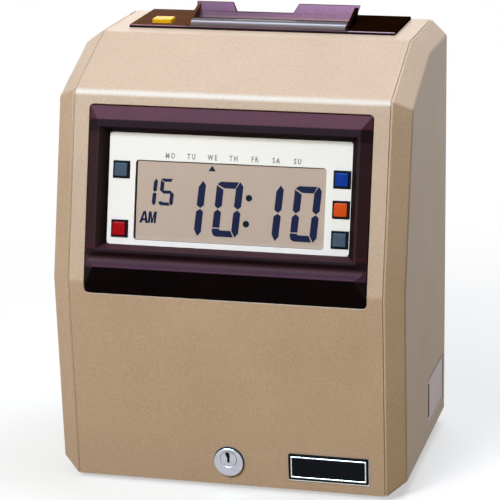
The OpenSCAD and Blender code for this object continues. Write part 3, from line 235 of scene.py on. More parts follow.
# Segments: dyed liquid crystal under the film, blue-black; the colon's spots are printed and look greener
segment_ink = finish("display_dark_segments", ("#111a40", "#172048"), 6, (0.4, 0.5), 0.9, 0.002, IOR=1.49,
                     Specular_IOR_Level=0.05)
colon_ink = finish("display_colon_spots", ("#041d27", "#08242f"), 3, (0.4, 0.5), 0.9, 0.002, IOR=1.49,
                   Specular_IOR_Level=0.03)
# Day names: thin grey screen ink, matt
label_ink = finish("panel_label_ink", ("#4c4e52", "#585a5e"), 3, (0.45, 0.55), 0.6, 0.002, IOR=1.49)
# Key caps: softly polished mouldings, coloured through
grey_cap, red_cap, blue_cap, orange_cap = (
    finish("cap_" + name + "_moulded", tones, 6, (0.3, 0.4), 0.8, 0.006, IOR=1.53, Specular_IOR_Level=0.04)
    for name, tones in (("grey", ("#445a72", "#4c627a")), ("red", ("#a2000e", "#ae0614")),
                        ("blue", ("#08389c", "#0e40a8")), ("orange", ("#d04c10", "#da5818"))))
yellow_cap = finish("cap_yellow_moulded", ("#e6b008", "#eebb12"), 6, (0.34, 0.44), 0.8, 0.006, IOR=1.53,
                    Specular_IOR_Level=0.04)
# Slot bar: aluminium brushed along its length and anodised grey, with a painted highlight in a line along its upper
# front and painted shade above and below that line; the brushing is drawn coarse so that it shows
bar_painted_light = in_bands(
    finish("bar_anodised_painted_highlight", ("#c4c4c4", "#ffffff"), 2.5, (0.34, 0.5), 0.8, 0.008, (0.04, 1, 1), speckle=0.5,
           Metallic=0.35, Specular_IOR_Level=0.2), CASE, (0, 0, 1),
    ((280.2, "#1c110d"), (281.2, "#46332e"), (282.2, "#64504d"), (282.8, "#89828a"), (283.15, "#d8d8e2"),
     (283.4, "#8a8792"), (283.65, "#453e46"), (284.1, "#2c2324")))
# Lock: zinc die casting with bright nickel plate, softly polished
lock_nickel = finish("lock_nickel_plate", ("#b3b3bb", "#c0c0c7"), 5, (0.26, 0.38), 0.8, 0.004, Metallic=0.9)
# Trim of the nameplate: bright rolled aluminium for its thin white line, and the same bright metal as a painted
# highlight along the plate's lower edge
silver_and_gleam = finish("plate_aluminium_and_painted_gleam", ("#d4d5d6", "#e0e1e2"), 4, (0.22, 0.32), 0.8, 0.003, Metallic=0.9)
# Sheet steel: zinc plated, cloudy, drawn along its length
zinc_steel = finish("steel_zinc_sheet", ("#8f9296", "#a5a8ab"), 14, (0.3, 0.5), 0.9, 0.006, (1, 1, 0.2),
                    speckle=0.3, Metallic=0.9)
# Rods and pins: ground steel, bright with fine lines along them
rod_steel = finish("steel_ground_rod", ("#b4b6b9", "#c4c6c8"), 4, (0.16, 0.26), 0.6, 0.002, (0.1, 1, 1),
                   Metallic=1.0)
# Leads and can tops: tinned, soft grey
tin_lead = finish("leads_tinned", ("#b2b4b6", "#c6c8c9"), 2, (0.24, 0.36), 0.6, 0.003, Metallic=1.0)
# Back: powder paint on steel, close to the case colour, with orange peel
rear_paint = finish("rear_painted_steel", ("#b79f84", "#c4ac90"), 40, (0.4, 0.54), 1.6, 0.05, speckle=0.5, IOR=1.5)
# Rubber: moulded and dusty, almost without gloss
soft_rubber = finish("rubber_moulded", ("#161617", "#222223"), 5, (0.7, 0.86), 0.8, 0.02, speckle=0.4, IOR=1.52)
# Circuit board: green mask with the tracks showing through in rows
board_mask = finish("board_solder_mask", ("#0c3d1f", "#1b6238"), 5, (0.3, 0.42), 0.8, 0.01, speckle=0.2,
                    lines=("X", PIN_PITCH, 0.03), IOR=1.5)
# Winding: enamelled copper, laid turn by turn
copper_wire = finish("coil_enamelled_wire", ("#8c4c1e", "#c8823f"), 6, (0.25, 0.4), 0.8, 0.01,
                     lines=("Z", 0.9, 0.25), Metallic=0.7)
# Transformer core: varnished laminations, stacked front to back
core_varnish = finish("core_varnished_laminations", ("#232327", "#45454a"), 4, (0.36, 0.5), 0.8, 0.01,
                      lines=("Y", 1.0, 0.2), Metallic=0.5)
# Lock nut, pinion, tags and blades: brass, turned or rolled, warm and bright
turned_brass = finish("brass_turned", ("#b08a3e", "#c59d4c"), 3, (0.24, 0.36), 0.6, 0.004, Metallic=1.0)
# Gear, roller and plugs: natural nylon, ivory and waxy
gear_nylon = finish("gear_nylon_moulded", ("#d9d4c2", "#e2ddcc"), 8, (0.42, 0.54), 0.9, 0.008, IOR=1.53)
# Cells and capacitors: blue shrink sleeve, glossy
cell_wrap = finish("cell_shrink_wrap", ("#2a4f86", "#32598f"), 9, (0.22, 0.34), 1.2, 0.01, IOR=1.5)
# Resistors: tan dipped lacquer with brown painted bands
resistor_lacquer = finish("resistor_lacquer", ("#b79462", "#c6a472"), 3, (0.32, 0.44), 0.8, 0.006, IOR=1.5)
band_lacquer = finish("resistor_bands", ("#5a2413", "#6e2f1a"), 2, (0.32, 0.44), 0.8, 0.006, IOR=1.5)

finish_of_slot = {
    "case": case_abs, "dark_plastic": dark_abs, "black_plastic": black_abs_and_shade, "panel": panel_sheet,
    "display": cell_film, "grey_cap": grey_cap, "red_cap": red_cap, "blue_cap": blue_cap,
    "orange_cap": orange_cap, "yellow_cap": yellow_cap, "bar_metal": bar_painted_light, "lock_metal": lock_nickel,
    "rear_paint": rear_paint, "steel": zinc_steel, "rubber": soft_rubber, "board": board_mask,
    "winding": copper_wire, "brass": turned_brass, "gear_plastic": gear_nylon, "cell_wrap": cell_wrap,
    "core_iron": core_varnish}


# Ways of working

def take_up(obj):
    """Makes obj the only selected and the active object."""
    bpy.ops.object.select_all(action="DESELECT")
    obj.select_set(True)
    bpy.context.view_layer.objects.active = obj


def start(kind, scale=(1, 1, 1), **sizes):
    """Adds a primitive with nothing else selected and fixes its size and place in its mesh."""
    bpy.ops.object.select_all(action="DESELECT")
    getattr(bpy.ops.mesh, "primitive_" + kind + "_add")(**sizes)
    bpy.context.active_object.scale = scale
    bpy.ops.object.transform_apply(location=True, rotation=True, scale=True)
    return bpy.context.active_object


def block(low, high):
    """A cube between two corners in millimetres."""
    size = [(b - a) * MM for a, b in zip(low, high)]
    middle = [(a + b) / 2 * MM for a, b in zip(low, high)]
    return start("cube", size=1, location=middle, scale=size)


def drum(radius, low, high, at=(0, 0), sides=48):
    """An upright cylinder between two heights in millimetres."""
    return start("cylinder", vertices=sides, radius=radius * MM, depth=(high - low) * MM,
                 location=(at[0] * MM, at[1] * MM, (low + high) / 2 * MM))


def pick(obj, part, rule):
    """Opens edit mode with only the faces or edges chosen by rule(middle in mm, normal or direction)."""
    take_up(obj)
    mesh = obj.data
    for group in (mesh.vertices, mesh.edges, mesh.polygons):
        group.foreach_set("select", [False] * len(group))
    if part == "FACE":
        for face in mesh.polygons:
            face.select = rule(face.center / MM, face.normal)
    else:
        for edge in mesh.edges:
            a, b = (mesh.vertices[v].co for v in edge.vertices)
            edge.select = rule((a + b) / 2 / MM, (b - a).normalized())
    bpy.ops.object.mode_set(mode="EDIT")
    bpy.ops.mesh.select_mode(type=part)


def leave_edit():
    """Goes back to object mode."""
    bpy.ops.object.mode_set(mode="OBJECT")


def apply_modifier(obj, kind, **settings):
    """Adds a modifier with its settings and applies it."""
    take_up(obj)
    made = obj.modifiers.new(kind.lower(), kind)
    for key, value in settings.items():
        setattr(made, key, value)
    bpy.ops.object.modifier_apply(modifier=made.name)


def soften(obj, width, segments=2, angle=28, weights=None):
    """Rounds the sharp edges by width mm; weights gives each edge its share by its middle."""
    if weights:
        mesh = obj.data
        share = mesh.attributes.new("bevel_weight_edge", "FLOAT", "EDGE")
        share.data.foreach_set("value", [
            weights((mesh.vertices[e.vertices[0]].co + mesh.vertices[e.vertices[1]].co) / 2 / MM)
            for e in mesh.edges])
        sharp = sharp_edges(mesh, angle)
        for i, value in enumerate(share.data):
            if i not in sharp:
                value.value = 0.0
    apply_modifier(obj, "BEVEL", width=width * MM, segments=segments, use_clamp_overlap=False,
                   limit_method="WEIGHT" if weights else "ANGLE", angle_limit=math.radians(angle))
    bpy.ops.object.shade_smooth_by_angle(angle=math.radians(SMOOTH_ANGLE))


def sharp_edges(mesh, angle):
    """Numbers of the edges whose two faces turn by more than angle degrees."""
    sides = {}
    for face in mesh.polygons:
        for key in face.edge_keys:
            sides.setdefault(key, []).append(face.normal)
    limit = math.cos(math.radians(angle))
    keys = {tuple(sorted(e.vertices)): i for i, e in enumerate(mesh.edges)}
    return {keys[k] for k, pair in sides.items() if len(pair) == 2 and pair[0].dot(pair[1]) < limit}


def join(pieces, name):
    """Joins pieces into one object."""
    bpy.ops.object.select_all(action="DESELECT")
    for piece in pieces:
        piece.select_set(True)
    bpy.context.view_layer.objects.active = pieces[0]
    if len(pieces) > 1:
        bpy.ops.object.join()
    pieces[0].name = name
    return pieces[0]


def copy_of(obj):
    """A copy of a piece with a mesh of its own."""
    twin = obj.copy()
    twin.data = obj.data.copy()
    bpy.context.scene.collection.objects.link(twin)
    return twin


def cut(obj, tool):
    """Takes the tool's shape out of obj."""
    apply_modifier(obj, "BOOLEAN", operation="DIFFERENCE", object=tool, solver="EXACT")
    bpy.data.objects.remove(tool)


def shift(x, y, z=0):
    """A move by so many mm."""
    return Matrix.Translation((x * MM, y * MM, z * MM))


def settle(obj, name, body, material, stands_for=()):
    """Names a finished piece, keeps its flats flat, gives it its finish and lets it ride on its body."""
    obj.name = name
    obj.data.name = name
    obj.data.materials.clear()
    obj.data.materials.append(material)
    apply_modifier(obj, "WEIGHTED_NORMAL", keep_sharp=True)
    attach(obj, body)
    if stands_for:
        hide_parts(*stands_for)
    return obj


def adopt(node):
    """A merged copy of a solid, with its flat faces whole again."""
    obj = bpy.data.objects.new(node + "_shown", nodes[node].data.copy())
    bpy.context.scene.collection.objects.link(obj)
    obj.data.materials.clear()
    take_up(obj)
    bpy.ops.object.mode_set(mode="EDIT")
    bpy.ops.mesh.select_all(action="SELECT")
    bpy.ops.mesh.remove_doubles(threshold=0.002 * MM)
    bpy.ops.mesh.dissolve_limited(angle_limit=math.radians(0.4))
    leave_edit()
    return obj


def dress(node, width, segments=2, material=None, weights=None, extra=()):
    """Shows a solid with rounded edges and its own finish, with any extra details joined to it."""
    obj = adopt(node)
    soften(obj, width, segments, weights=weights)
    obj = join([obj, *extra], node + "_shown")
    return settle(obj, node + "_shown", body_of[node],
                  material or finish_of_slot[slot_of[node]], (node,))


def plate(outline, depth):
    """A thin plate of a drawn outline in mm, standing depth mm out."""
    sheet = start("circle", vertices=len(outline), radius=MM, fill_type="NGON")
    for vertex, (x, y) in zip(sheet.data.vertices, outline):
        vertex.co = (x * MM, y * MM, 0)
    pick(sheet, "FACE", lambda middle, normal: True)
    bpy.ops.mesh.extrude_region_move(TRANSFORM_OT_translate={"value": (0, 0, depth * MM)})
    bpy.ops.mesh.select_all(action="SELECT")
    bpy.ops.mesh.normals_make_consistent(inside=False)
    leave_edit()
    return sheet


def grown(outline, by):
    """An outline with every side moved out by so many mm."""
    points = [Vector(point) for point in outline]
    befores, afters = points[-1:] + points[:-1], points[1:] + points[:1]
    turn = math.copysign(1, sum(a.x * b.y - a.y * b.x for a, b in zip(points, afters)))
    moved = []
    for before, here, after in zip(befores, points, afters):
        first = turn * Vector((here.y - before.y, before.x - here.x)).normalized()
        second = turn * Vector((after.y - here.y, here.x - after.x)).normalized()
        moved.append(here + (first + second) * (by / (1 + first.dot(second))))
    return moved


# Shell

def cheek_share(middle):
    """The rim at the seam is rounded less than the outer edges of a cheek."""
    return 0.22 if abs(middle.x) < SEAM_X + 1.5 else 1.0


for cheek in ("left_cheek", "right_cheek"):
    dress(cheek, 1.3, 3, weights=cheek_share)
dress("front_cover", 0.5, 3)

# Seam lips: thin strips on the cheeks that close the joint to the hood, almost flush on the left
LIP_W, LIP_S, LIP_FOOT, LIP_BACK = 1.5, 0.5, 0.5, 150
ARC_STEPS = 6
toe, crease, ridge = Vector((TOE_BACK, LIP_FOOT)), Vector((0, CREASE_H)), Vector((RIDGE_BACK, RIDGE_H))
shoulder = Vector((SHOULDER_BACK, CASE_H))
before, after = (crease - ridge).normalized(), (shoulder - ridge).normalized()
tangent = RIDGE_R * math.sqrt((1 + before.dot(after)) / (1 - before.dot(after)))
profile = [toe, crease]
for i in range(ARC_STEPS + 1):
    t = i / ARC_STEPS
    profile.append(ridge + before * tangent * (1 - t) ** 2 + after * tangent * t ** 2)
profile += [shoulder, Vector((LIP_BACK, CASE_H)), Vector((LIP_BACK, LIP_FOOT))]
lips = []
for x, sunk in ((-SEAM_X, 0.12), (SEAM_X - LIP_S, 0.7)):
    outer, inner = grown(profile, -sunk), grown(profile, -sunk - LIP_W)
    lip = plate(outer[:-1] + inner[-2::-1], LIP_S)
    lip.data.transform(CASE @ shift(x, 0) @ SIDEWAYS)
    lips.append(lip)
lips = join(lips, "seam_lips")
soften(lips, 0.06, 1, 40)
settle(lips, "seam_lips", "chassis", case_abs)

# Side cover: a notch for a finger at its front edge; the notch and the cover's edges are black, painted shade that
# matches the shaded gap around it
COVER_OUT, COVER_FRONT, COVER_RIM = 114.7, 94.7, 0.45
NOTCH_W, NOTCH_S, NOTCH_LOW, NOTCH_TOP = 4.0, 1.4, 22.2, 46.2
cover = adopt("access_cover")
notch = block((COVER_OUT - NOTCH_S, COVER_FRONT - 1, NOTCH_LOW), (COVER_OUT + 1, COVER_FRONT + NOTCH_W, NOTCH_TOP))
notch.data.transform(CASE)
cut(cover, notch)
soften(cover, 0.3)
settle(cover, "access_cover_shown", "chassis", cover_abs, ("access_cover",))
# Painted shade: faces set back from the cover's face, in the notch and round its edges, take the black
cover.data.materials.append(black_abs_and_shade)
for face in cover.data.polygons:
    if face.center.x < (COVER_OUT - COVER_RIM) * MM:
        face.material_index = 1
dress("rear_panel", 0.3)
dress("base_plate", 0.25)

# Bezel: the steep walls around the panel are dull and get painted shade, and the underside of the lip is painted
# near black as the shade under it
bezel = dress("bezel", 0.35, 3, bezel_painted_light)
for material in (well_painted_shade, lip_underside_painted_shade):
    bezel.data.materials.append(material)
to_face = UPPER_FACE.inverted()
for face in bezel.data.polygons:
    x, up, _ = to_face @ face.center / MM
    steep = (to_face.to_3x3() @ face.normal).z < 0.6
    if up < LIP_LOW:
        face.material_index = 2
    elif steep and PANEL_LOW < up < WELL_TOP and abs(x) < WELL_X:
        face.material_index = 1


# Display

def flat_plate(width, height, at, depth):
    """A thin plate flat on the front face: x and up in mm, standing depth mm out."""
    sheet = start("plane", size=1, location=(at[0] * MM, at[1] * MM, 0), scale=(width * MM, height * MM, 1))
    apply_modifier(sheet, "SOLIDIFY", thickness=depth * MM, offset=1)
    return sheet


# Bars of the large digit as outlines in mm about its middle, 16.7 wide and 34.3 high
W, H = 8.35, 17.15
UPRIGHT = ((W, H - 2.4), (W - 1.9, H - 0.1), (W - 4.1, H - 3.8), (W - 4.1, 2.2), (W - 1.9, 0.55), (W, 2.2))
BARS = {
    "a": ((0.5 - W, H - 1.35), (4.6 - W, H - 3.6), (W - 5.0, H - 3.6), (W - 3.2, H), (2.3 - W, H)),
    "b": UPRIGHT,
    "c": tuple((x, -y) for x, y in reversed(UPRIGHT)),
    "d": ((-W, 4.5 - H), (-W, 2.9 - H), (0.8 - W, 0.9 - H), (2.6 - W, -H), (W - 3.3, -H), (W - 5.1, 3.5 - H),
          (4.6 - W, 3.5 - H), (3.9 - W, 4.5 - H)),
    "e": ((-W, 5.7 - H), (4.1 - W, 5.7 - H), (4.1 - W, -2.2), (1.9 - W, -0.55), (-W, -2.2)),
    "f": ((-W, 2.2), (1.9 - W, 0.55), (4.1 - W, 2.2), (4.1 - W, H - 5.0), (-W, H - 2.5)),
    "g": ((2.4 - W, 0), (4.4 - W, -1.8), (W - 4.4, -1.8), (W - 2.4, 0), (W - 4.4, 1.8), (4.4 - W, 1.8))}
LIT = {"0": "abcdef", "1": "bc", "5": "afgcd"}
# Letters of the half-day mark as outlines in mm from their left foot
LETTER_A = ((0, 0), (2.0, 7.4), (3.5, 7.4), (5.5, 0), (3.95, 0), (3.6, 1.5), (1.9, 1.5), (1.55, 0))
EYE_OF_A = ((2.15, 2.8), (3.35, 2.8), (2.75, 5.6))
LETTER_M = ((0, 0), (0, 7.4), (1.75, 7.4), (2.65, 2.6), (3.55, 7.4), (5.3, 7.4), (5.3, 0), (3.85, 0), (3.85, 4.4),
            (3.25, 0), (2.05, 0), (1.45, 4.4), (1.45, 0))
SLANT = 0.0765
INK = 0.08
MARK_FOOT, COLON_R, COLON_INK = 39.4, 2.1, 0.12


def slanted(x, up, width=1, height=1):
    """The slant of the display's signs, with a share of their size and a move to x and up in mm."""
    return Matrix(((width, SLANT * height, 0, x * MM), (0, height, 0, up * MM), (0, 0, 1, 0), (0, 0, 0, 1)))


def digit(sign, middle, width, height, weight):
    """A slanted seven-bar digit, centred on middle, with its size as a share of the large one.

    weight widens its bars on every side by so many mm of the large digit.
    """
    whole = join([plate(grown(BARS[bar], weight), INK) for bar in LIT[sign]], "digit")
    whole.data.transform(slanted(*middle, width, height))
    return whole


LETTER_S, CAP_SHARE = 0.02, 0.7


def words(text, height, at, widen, weight, apart):
    """Flat letters of a cap height in mm, centred on a point of the front face, made a mesh.

    widen scales their width, weight thickens them by so many mm, and apart is their spacing.
    """
    bpy.ops.object.select_all(action="DESELECT")
    bpy.ops.object.text_add()
    letters = bpy.context.active_object
    letters.data.body = text
    letters.data.size = height / CAP_SHARE * MM
    letters.data.align_x = "CENTER"
    letters.data.align_y = "CENTER"
    letters.data.offset = weight * MM
    letters.data.space_character = apart
    letters.data.extrude = LETTER_S * MM
    letters.data.resolution_u = 3
    bpy.ops.object.convert(target="MESH")
    letters = bpy.context.active_object
    letters.data.transform(shift(*at, LETTER_S) @ Matrix.Diagonal((widen, 1, 1, 1)))
    return letters


dress("display_panel", 0.12)
dress("lcd_module", 0.15)
on_film = UPPER_FACE @ Matrix.Translation((0, 0, -LCD_IN * MM))
on_panel = UPPER_FACE @ Matrix.Translation((0, 0, -PANEL_IN * MM))
small = (9.2 / (2 * W), 16.8 / (2 * H), 0.25)
large = (1.0, 1.0, 0.28)
marks = [digit("1", (-24.75, 50.25), *large), digit("0", (-0.43, 50.4), *large),
         digit("1", (25.7, 49.7), *large), digit("0", (50.1, 49.9), *large),
         digit("1", (-51.95, 59.15), *small), digit("5", (-40.5, 59.5), *small)]
marks.append(plate(((-13.8, 74.0), (-9.0, 74.0), (-11.35, 77.6)), INK))
letter_a = plate(grown(LETTER_A, 0.1), INK)
eye = plate(EYE_OF_A, 2)
eye.data.transform(shift(0, 0, -1))
cut(letter_a, eye)
for letter, x in ((letter_a, -57.95), (plate(LETTER_M, INK), -52.4)):
    letter.data.transform(slanted(x, MARK_FOOT))
    marks.append(letter)
segments = join(marks, "display_segments")
segments.data.transform(on_film)
settle(segments, "display_segments", "hood", segment_ink)

spots = []
for x, up in ((13.2, 58.2), (11.9, 41.8)):
    spot = drum(COLON_R, 0, COLON_INK, (x, up), 32)
    soften(spot, 0.05, 1, 40)
    spots.append(spot)
colon = join(spots, "display_colon")
colon.data.transform(on_film)
settle(colon, "display_colon", "hood", colon_ink)

DAYS = ("MO", "TU", "WE", "TH", "FR", "SA", "SU")
DAY_X, DAY_STEP, DAY_UP, DAY_H = -38.7, 13.77, 82.45, 3.3
labels = join([words(day, DAY_H, (DAY_X + DAY_STEP * i, DAY_UP), widen=0.72, weight=0.12, apart=1.5)
               for i, day in enumerate(DAYS)], "day_labels")
labels.data.transform(on_panel)
settle(labels, "day_labels", "hood", label_ink)

# Rounded inner corners of the bezel over the panel
CORNER_R = 1.9
corner = [(0, 0)]
for i in range(ARC_STEPS + 1):
    turn = math.pi / 2 / ARC_STEPS * i
    corner.append((CORNER_R * (1 - math.sin(turn)), CORNER_R * (1 - math.cos(turn))))
fillets = []
for x, up, flip in ((-PANEL_X, PANEL_LOW, (1, 1)), (PANEL_X, PANEL_LOW, (-1, 1)), (PANEL_X, PANEL_TOP, (-1, -1)),
                    (-PANEL_X, PANEL_TOP, (1, -1))):
    fillets.append(plate([(x + flip[0] * a, up + flip[1] * b) for a, b in corner], 0.3))
fillets = join(fillets, "bezel_corners")
soften(fillets, 0.05, 1, 40)
fillets.data.transform(on_panel)
settle(fillets, "bezel_corners", "hood", dark_abs)

# Painted shadow between panel and display: a thin black ring around the window, wider at its left and top
SHADOW_RING_W, SHADOW_RING_H, SHADOW_RING_AT, SHADOW_RING_S = 124.8, 51.9, (0.7, 53.75), 0.4
WINDOW_LOW, WINDOW_HIGH = (-60.3, 28.5), (62.4, 78.7)
shadow_ring = flat_plate(SHADOW_RING_W, SHADOW_RING_H, SHADOW_RING_AT, SHADOW_RING_S)
cut(shadow_ring, block((*WINDOW_LOW, -1), (*WINDOW_HIGH, 1)))
soften(shadow_ring, 0.06, 1)
shadow_ring.data.transform(on_film)
settle(shadow_ring, "window_painted_shadow", "hood", black_abs_and_shade)

for cap in ("button_grey_left", "button_red", "button_blue", "button_orange", "button_grey_right"):
    dress(cap, 0.8, 2)
dress("button_frames", 0.25)
dress("yellow_key", 0.8, 3)


# Top insert

def insert_share(middle):
    """The front edge of the insert is broken more than its other edges."""
    front = abs(middle.y - INSERT_FRONT + MID_Y) < 0.1 and abs(middle.z - INSERT_TOP) < 0.1
    return 1.0 if front else 0.25


insert = dress("top_insert", 1.6, 2, insert_painted_shade, insert_share)
# Painted light: the front chamfer takes the edge's painted highlights and shadow, and the throat's faces its painted
# sheen and shade
for material in (insert_edge_painted_light, throat_painted_light):
    insert.data.materials.append(material)
for face in insert.data.polygons:
    if face.center.y < (INSERT_FRONT + 2 - MID_Y) * MM and 0.2 < face.normal.z < 0.98 and face.normal.y < -0.1:
        face.material_index = 1
    elif face.center.z > (INSERT_TOP - 1.2) * MM and face.normal.y < -0.5:
        face.material_index = 2
dress("slot_bar", 0.5, 3)


# Lock and nameplate

barrel = dress("lock_barrel", 0.45, 3)
# Painted shade: the barrel's faces that turn away from the front are black, for the shadow in the gap around the
# lock
barrel.data.materials.append(black_abs_and_shade)
lock_front = LOWER_FACE.to_3x3() @ Vector((0, 0, 1))
for face in barrel.data.polygons:
    if face.normal.dot(lock_front) < 0.3:
        face.material_index = 1
# Painted shadow: a dark rubber ring just wider than the lock, for the shadow in the gap around it
lock_shadow_ring = drum(LOCK_R + 0.45, 0, 0.5, (0, LOCK_UP + 0.3), 64)
soften(lock_shadow_ring, 0.15, 2, 40)
lock_shadow_ring.data.transform(LOWER_FACE)
settle(lock_shadow_ring, "lock_painted_shadow_ring", "hood", soft_rubber)
plug = adopt("lock_core")
at_plug = LOWER_FACE @ shift(0, LOCK_UP + PLUG_UP)
plug_out = max((at_plug.inverted() @ vertex.co).z for vertex in plug.data.vertices) / MM
KEYWAY = ((-2.0, 2.9), (-1.3, 2.5), (-1.3, 1.5), (-0.8, 1.3), (-0.8, -2.3), (0.8, -2.3), (0.8, 0.6), (1.1, 1.2),
          (1.0, 3.3), (0.6, 4.6), (-0.9, 5.0), (-1.8, 4.5))
soften(plug, 0.18, 2)
tool = plate(KEYWAY, 3)
tool.data.transform(at_plug @ shift(0, 0, plug_out - 1.4))
cut(plug, tool)
settle(plug, "lock_core_shown", "lock_core", lock_nickel, ("lock_core",))
# Painted shade: the keyway's walls and the plug's sides take black
plug.data.materials.append(black_abs_and_shade)
for face in plug.data.polygons:
    if face.normal.dot(lock_front) < 0.5:
        face.material_index = 1
# Painted shade: a black block down in the keyway, for the dark inside it
keyway_shade = plate(grown(KEYWAY, 0.05), 1.3)
soften(keyway_shade, 0.08, 1)
keyway_shade.data.transform(at_plug @ shift(0, 0, plug_out - 1.6))
settle(keyway_shade, "lock_keyway_painted_shade", "lock_core", black_abs_and_shade)
dress("lock_nut", 0.3)

# Nameplate: a bright line inside its edge, and a bright rim below it that is a painted highlight along the plate's
# lower edge
PLATE_X, PLATE_UP, PLATE_W, PLATE_H, PLATE_S = 65.8, 16.6, 52.4, 17.8, 1.6
TRIM_IN, TRIM_W = 1.6, 0.7
dress("nameplate", 0.3, material=plate_lacquer)
half_x, half_up = PLATE_W / 2 - TRIM_IN - TRIM_W, PLATE_H / 2 - TRIM_IN - TRIM_W
line = flat_plate(PLATE_W - 2 * TRIM_IN, PLATE_H - 2 * TRIM_IN, (PLATE_X, PLATE_UP), 0.5)
cut(line, block((PLATE_X - half_x, PLATE_UP - half_up, -1), (PLATE_X + half_x, PLATE_UP + half_up, 1)))
soften(line, 0.08, 1)
line.data.transform(LOWER_FACE @ shift(0, 0, PLATE_S - 0.42))
# Painted highlight: a bright plate set a little down and right so that it shows below the nameplate
lower_gleam = flat_plate(PLATE_W + 0.1, PLATE_H + 0.1, (PLATE_X + 0.35, PLATE_UP - 0.9), 0.8)
soften(lower_gleam, 0.25, 2)
lower_gleam.data.transform(LOWER_FACE)
settle(join([line, lower_gleam], "nameplate_trim_and_gleam"), "nameplate_trim_and_gleam", "hood", silver_and_gleam)


# Screws, feet and inlet

def pan_screw(radius, height, shank, shank_length):
    """A pan head screw that points down its own z, with a cross recess."""
    head = drum(radius, 0, height, sides=36)
    soften(head, 0.35 * height, 3, 40)
    arm, slot = 0.62 * radius, 0.14 * radius
    for half_x, half_y in ((arm, slot), (slot, arm)):
        cut(head, block((-half_x, -half_y, 0.4 * height), (half_x, half_y, height + 1)))
    rod = drum(shank, -shank_length, 0.1, sides=24)
    soften(rod, 0.2, 1, 40)
    return join([head, rod], "screw")


def spread(model, places):
    """Copies of a model, one at each matrix, as one object."""
    twins = []
    for place in places:
        twin = copy_of(model)
        twin.data.transform(place)
        twins.append(twin)
    bpy.data.objects.remove(model)
    return join(twins, "spread")


# Rear screws: two at the base plate, four at the corners of the main board and four at the hinge brackets
REAR_TOP, BOARD_EDGE = 256.5, 6
screw_x = MAIN_W / 2 - BOARD_EDGE
rear_places = [(80.7, 15), (-80.7, 15)]
rear_places += [(x, up) for x in (screw_x, -screw_x)
                for up in (MAIN_LOW + BOARD_EDGE, MAIN_LOW + MAIN_H - BOARD_EDGE)]
rear_places += [(x, up) for x in (80, -80) for up in (REAR_TOP - 18, REAR_TOP - 8)]
screws = spread(pan_screw(3.0, 1.8, 1.45, 3.8), [BACK_FACE @ shift(x, up) for x, up in rear_places])
settle(screws, "rear_screws_shown", "chassis", zinc_steel, ("rear_screws",))

# Feet: rubber, with a hollow sole and a stem through the base plate
FOOT_R, STEM_R, FOOT_X, FOOT_Y = 8, 2.5, 89, (26, 140)
foot = drum(FOOT_R, -FOOT_H, 0, sides=40)
soften(foot, 0.7, 3, 40)
pick(foot, "FACE", lambda middle, normal: normal.z < -0.999)
bpy.ops.mesh.inset(thickness=1.6 * MM, depth=0)
bpy.ops.mesh.inset(thickness=0.5 * MM, depth=0)
bpy.ops.transform.translate(value=(0, 0, 0.8 * MM))
leave_edit()
stem = drum(STEM_R, -0.2, 3, sides=24)
soften(stem, 0.3, 2, 40)
feet = spread(join([foot, stem], "foot"), [CASE @ shift(x, y) for x in (-FOOT_X, FOOT_X) for y in FOOT_Y])
settle(feet, "feet_shown", "chassis", soft_rubber, ("feet",))

# Power socket: three blades deep inside it
INLET_X, INLET_UP = 70, 44
dress("power_inlet", 0.4)
blade = block((-1.0, -2.0, -9.5), (1.0, 2.0, -1.5))
soften(blade, 0.4, 2)
blades = spread(blade, [BACK_FACE @ shift(INLET_X + x, INLET_UP + up, -1)
                        for x, up in ((-6, -1.5), (0, 2.0), (6, -1.5))])
settle(blades, "inlet_blades", "chassis", turned_brass)


# Inside: sheet metal, guides and drive

for sheet in ("hinge_brackets", "mech_plate_left", "mech_plate_right", "mech_shelf", "chute_front", "chute_rear"):
    dress(sheet, 0.22)
for turned in ("hinge_pins", "cheek_screws", "carriage_rods", "feed_shaft", "display_screws"):
    dress(turned, 0.25, 2, rod_steel)
for moulded in ("print_carriage", "ribbon_knob", "key_switch", "display_frame"):
    dress(moulded, 0.5)
for wheel in ("feed_gear", "motor_pinion", "pinch_roller", "motor_pulley", "idler_pulley"):
    dress(wheel, 0.15)
for soft in ("feed_tyres", "platen_bar", "carriage_belt"):
    dress(soft, 0.3)
for rest in ("print_head", "ribbon_band", "display_switches", "transformer_coil"):
    dress(rest, 0.12)
for board in ("display_board", "main_board"):
    dress(board, 0.12)


def corners(node):
    """Lowest and highest corner of a solid in mm."""
    return [Vector(corner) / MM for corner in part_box(node)]


# Ribbon cassette: ribs on the lid for the fingers
RIB_X, RIB_STEP, RIB_W = -14, 11, 2
low, high = corners("ribbon_cassette")
ribs = []
for x in (RIB_X + RIB_STEP * i for i in range(6)):
    rib = block((x, low.y + 3, high.z - 0.3), (x + RIB_W, low.y + 19, high.z + 0.7))
    soften(rib, 0.3, 2)
    ribs.append(rib)
dress("ribbon_cassette", 0.5, extra=ribs)

# Motors: drawn cans; the feed motor has a bearing boss and two solder tags at its blind end
low, high = corners("feed_motor")
end = (low.x, (low.y + high.y) / 2, (low.z + high.z) / 2)
boss = drum(4.0, -1.6, 0.4, sides=32)
soften(boss, 0.4, 2, 40)
boss.data.transform(Matrix.Translation(Vector(end) * MM) @ ALONG_X)
dress("feed_motor", 0.9, 3, extra=[boss])
tag = block((-0.3, -1.2, -3.2), (0.3, 1.2, 0.4))
soften(tag, 0.2, 2)
tags = spread(tag, [shift(end[0], end[1] + side, end[2]) @ ALONG_X for side in (-7, 7)])
settle(tags, "motor_tags", "chassis", turned_brass)
dress("carriage_motor", 0.9, 3)

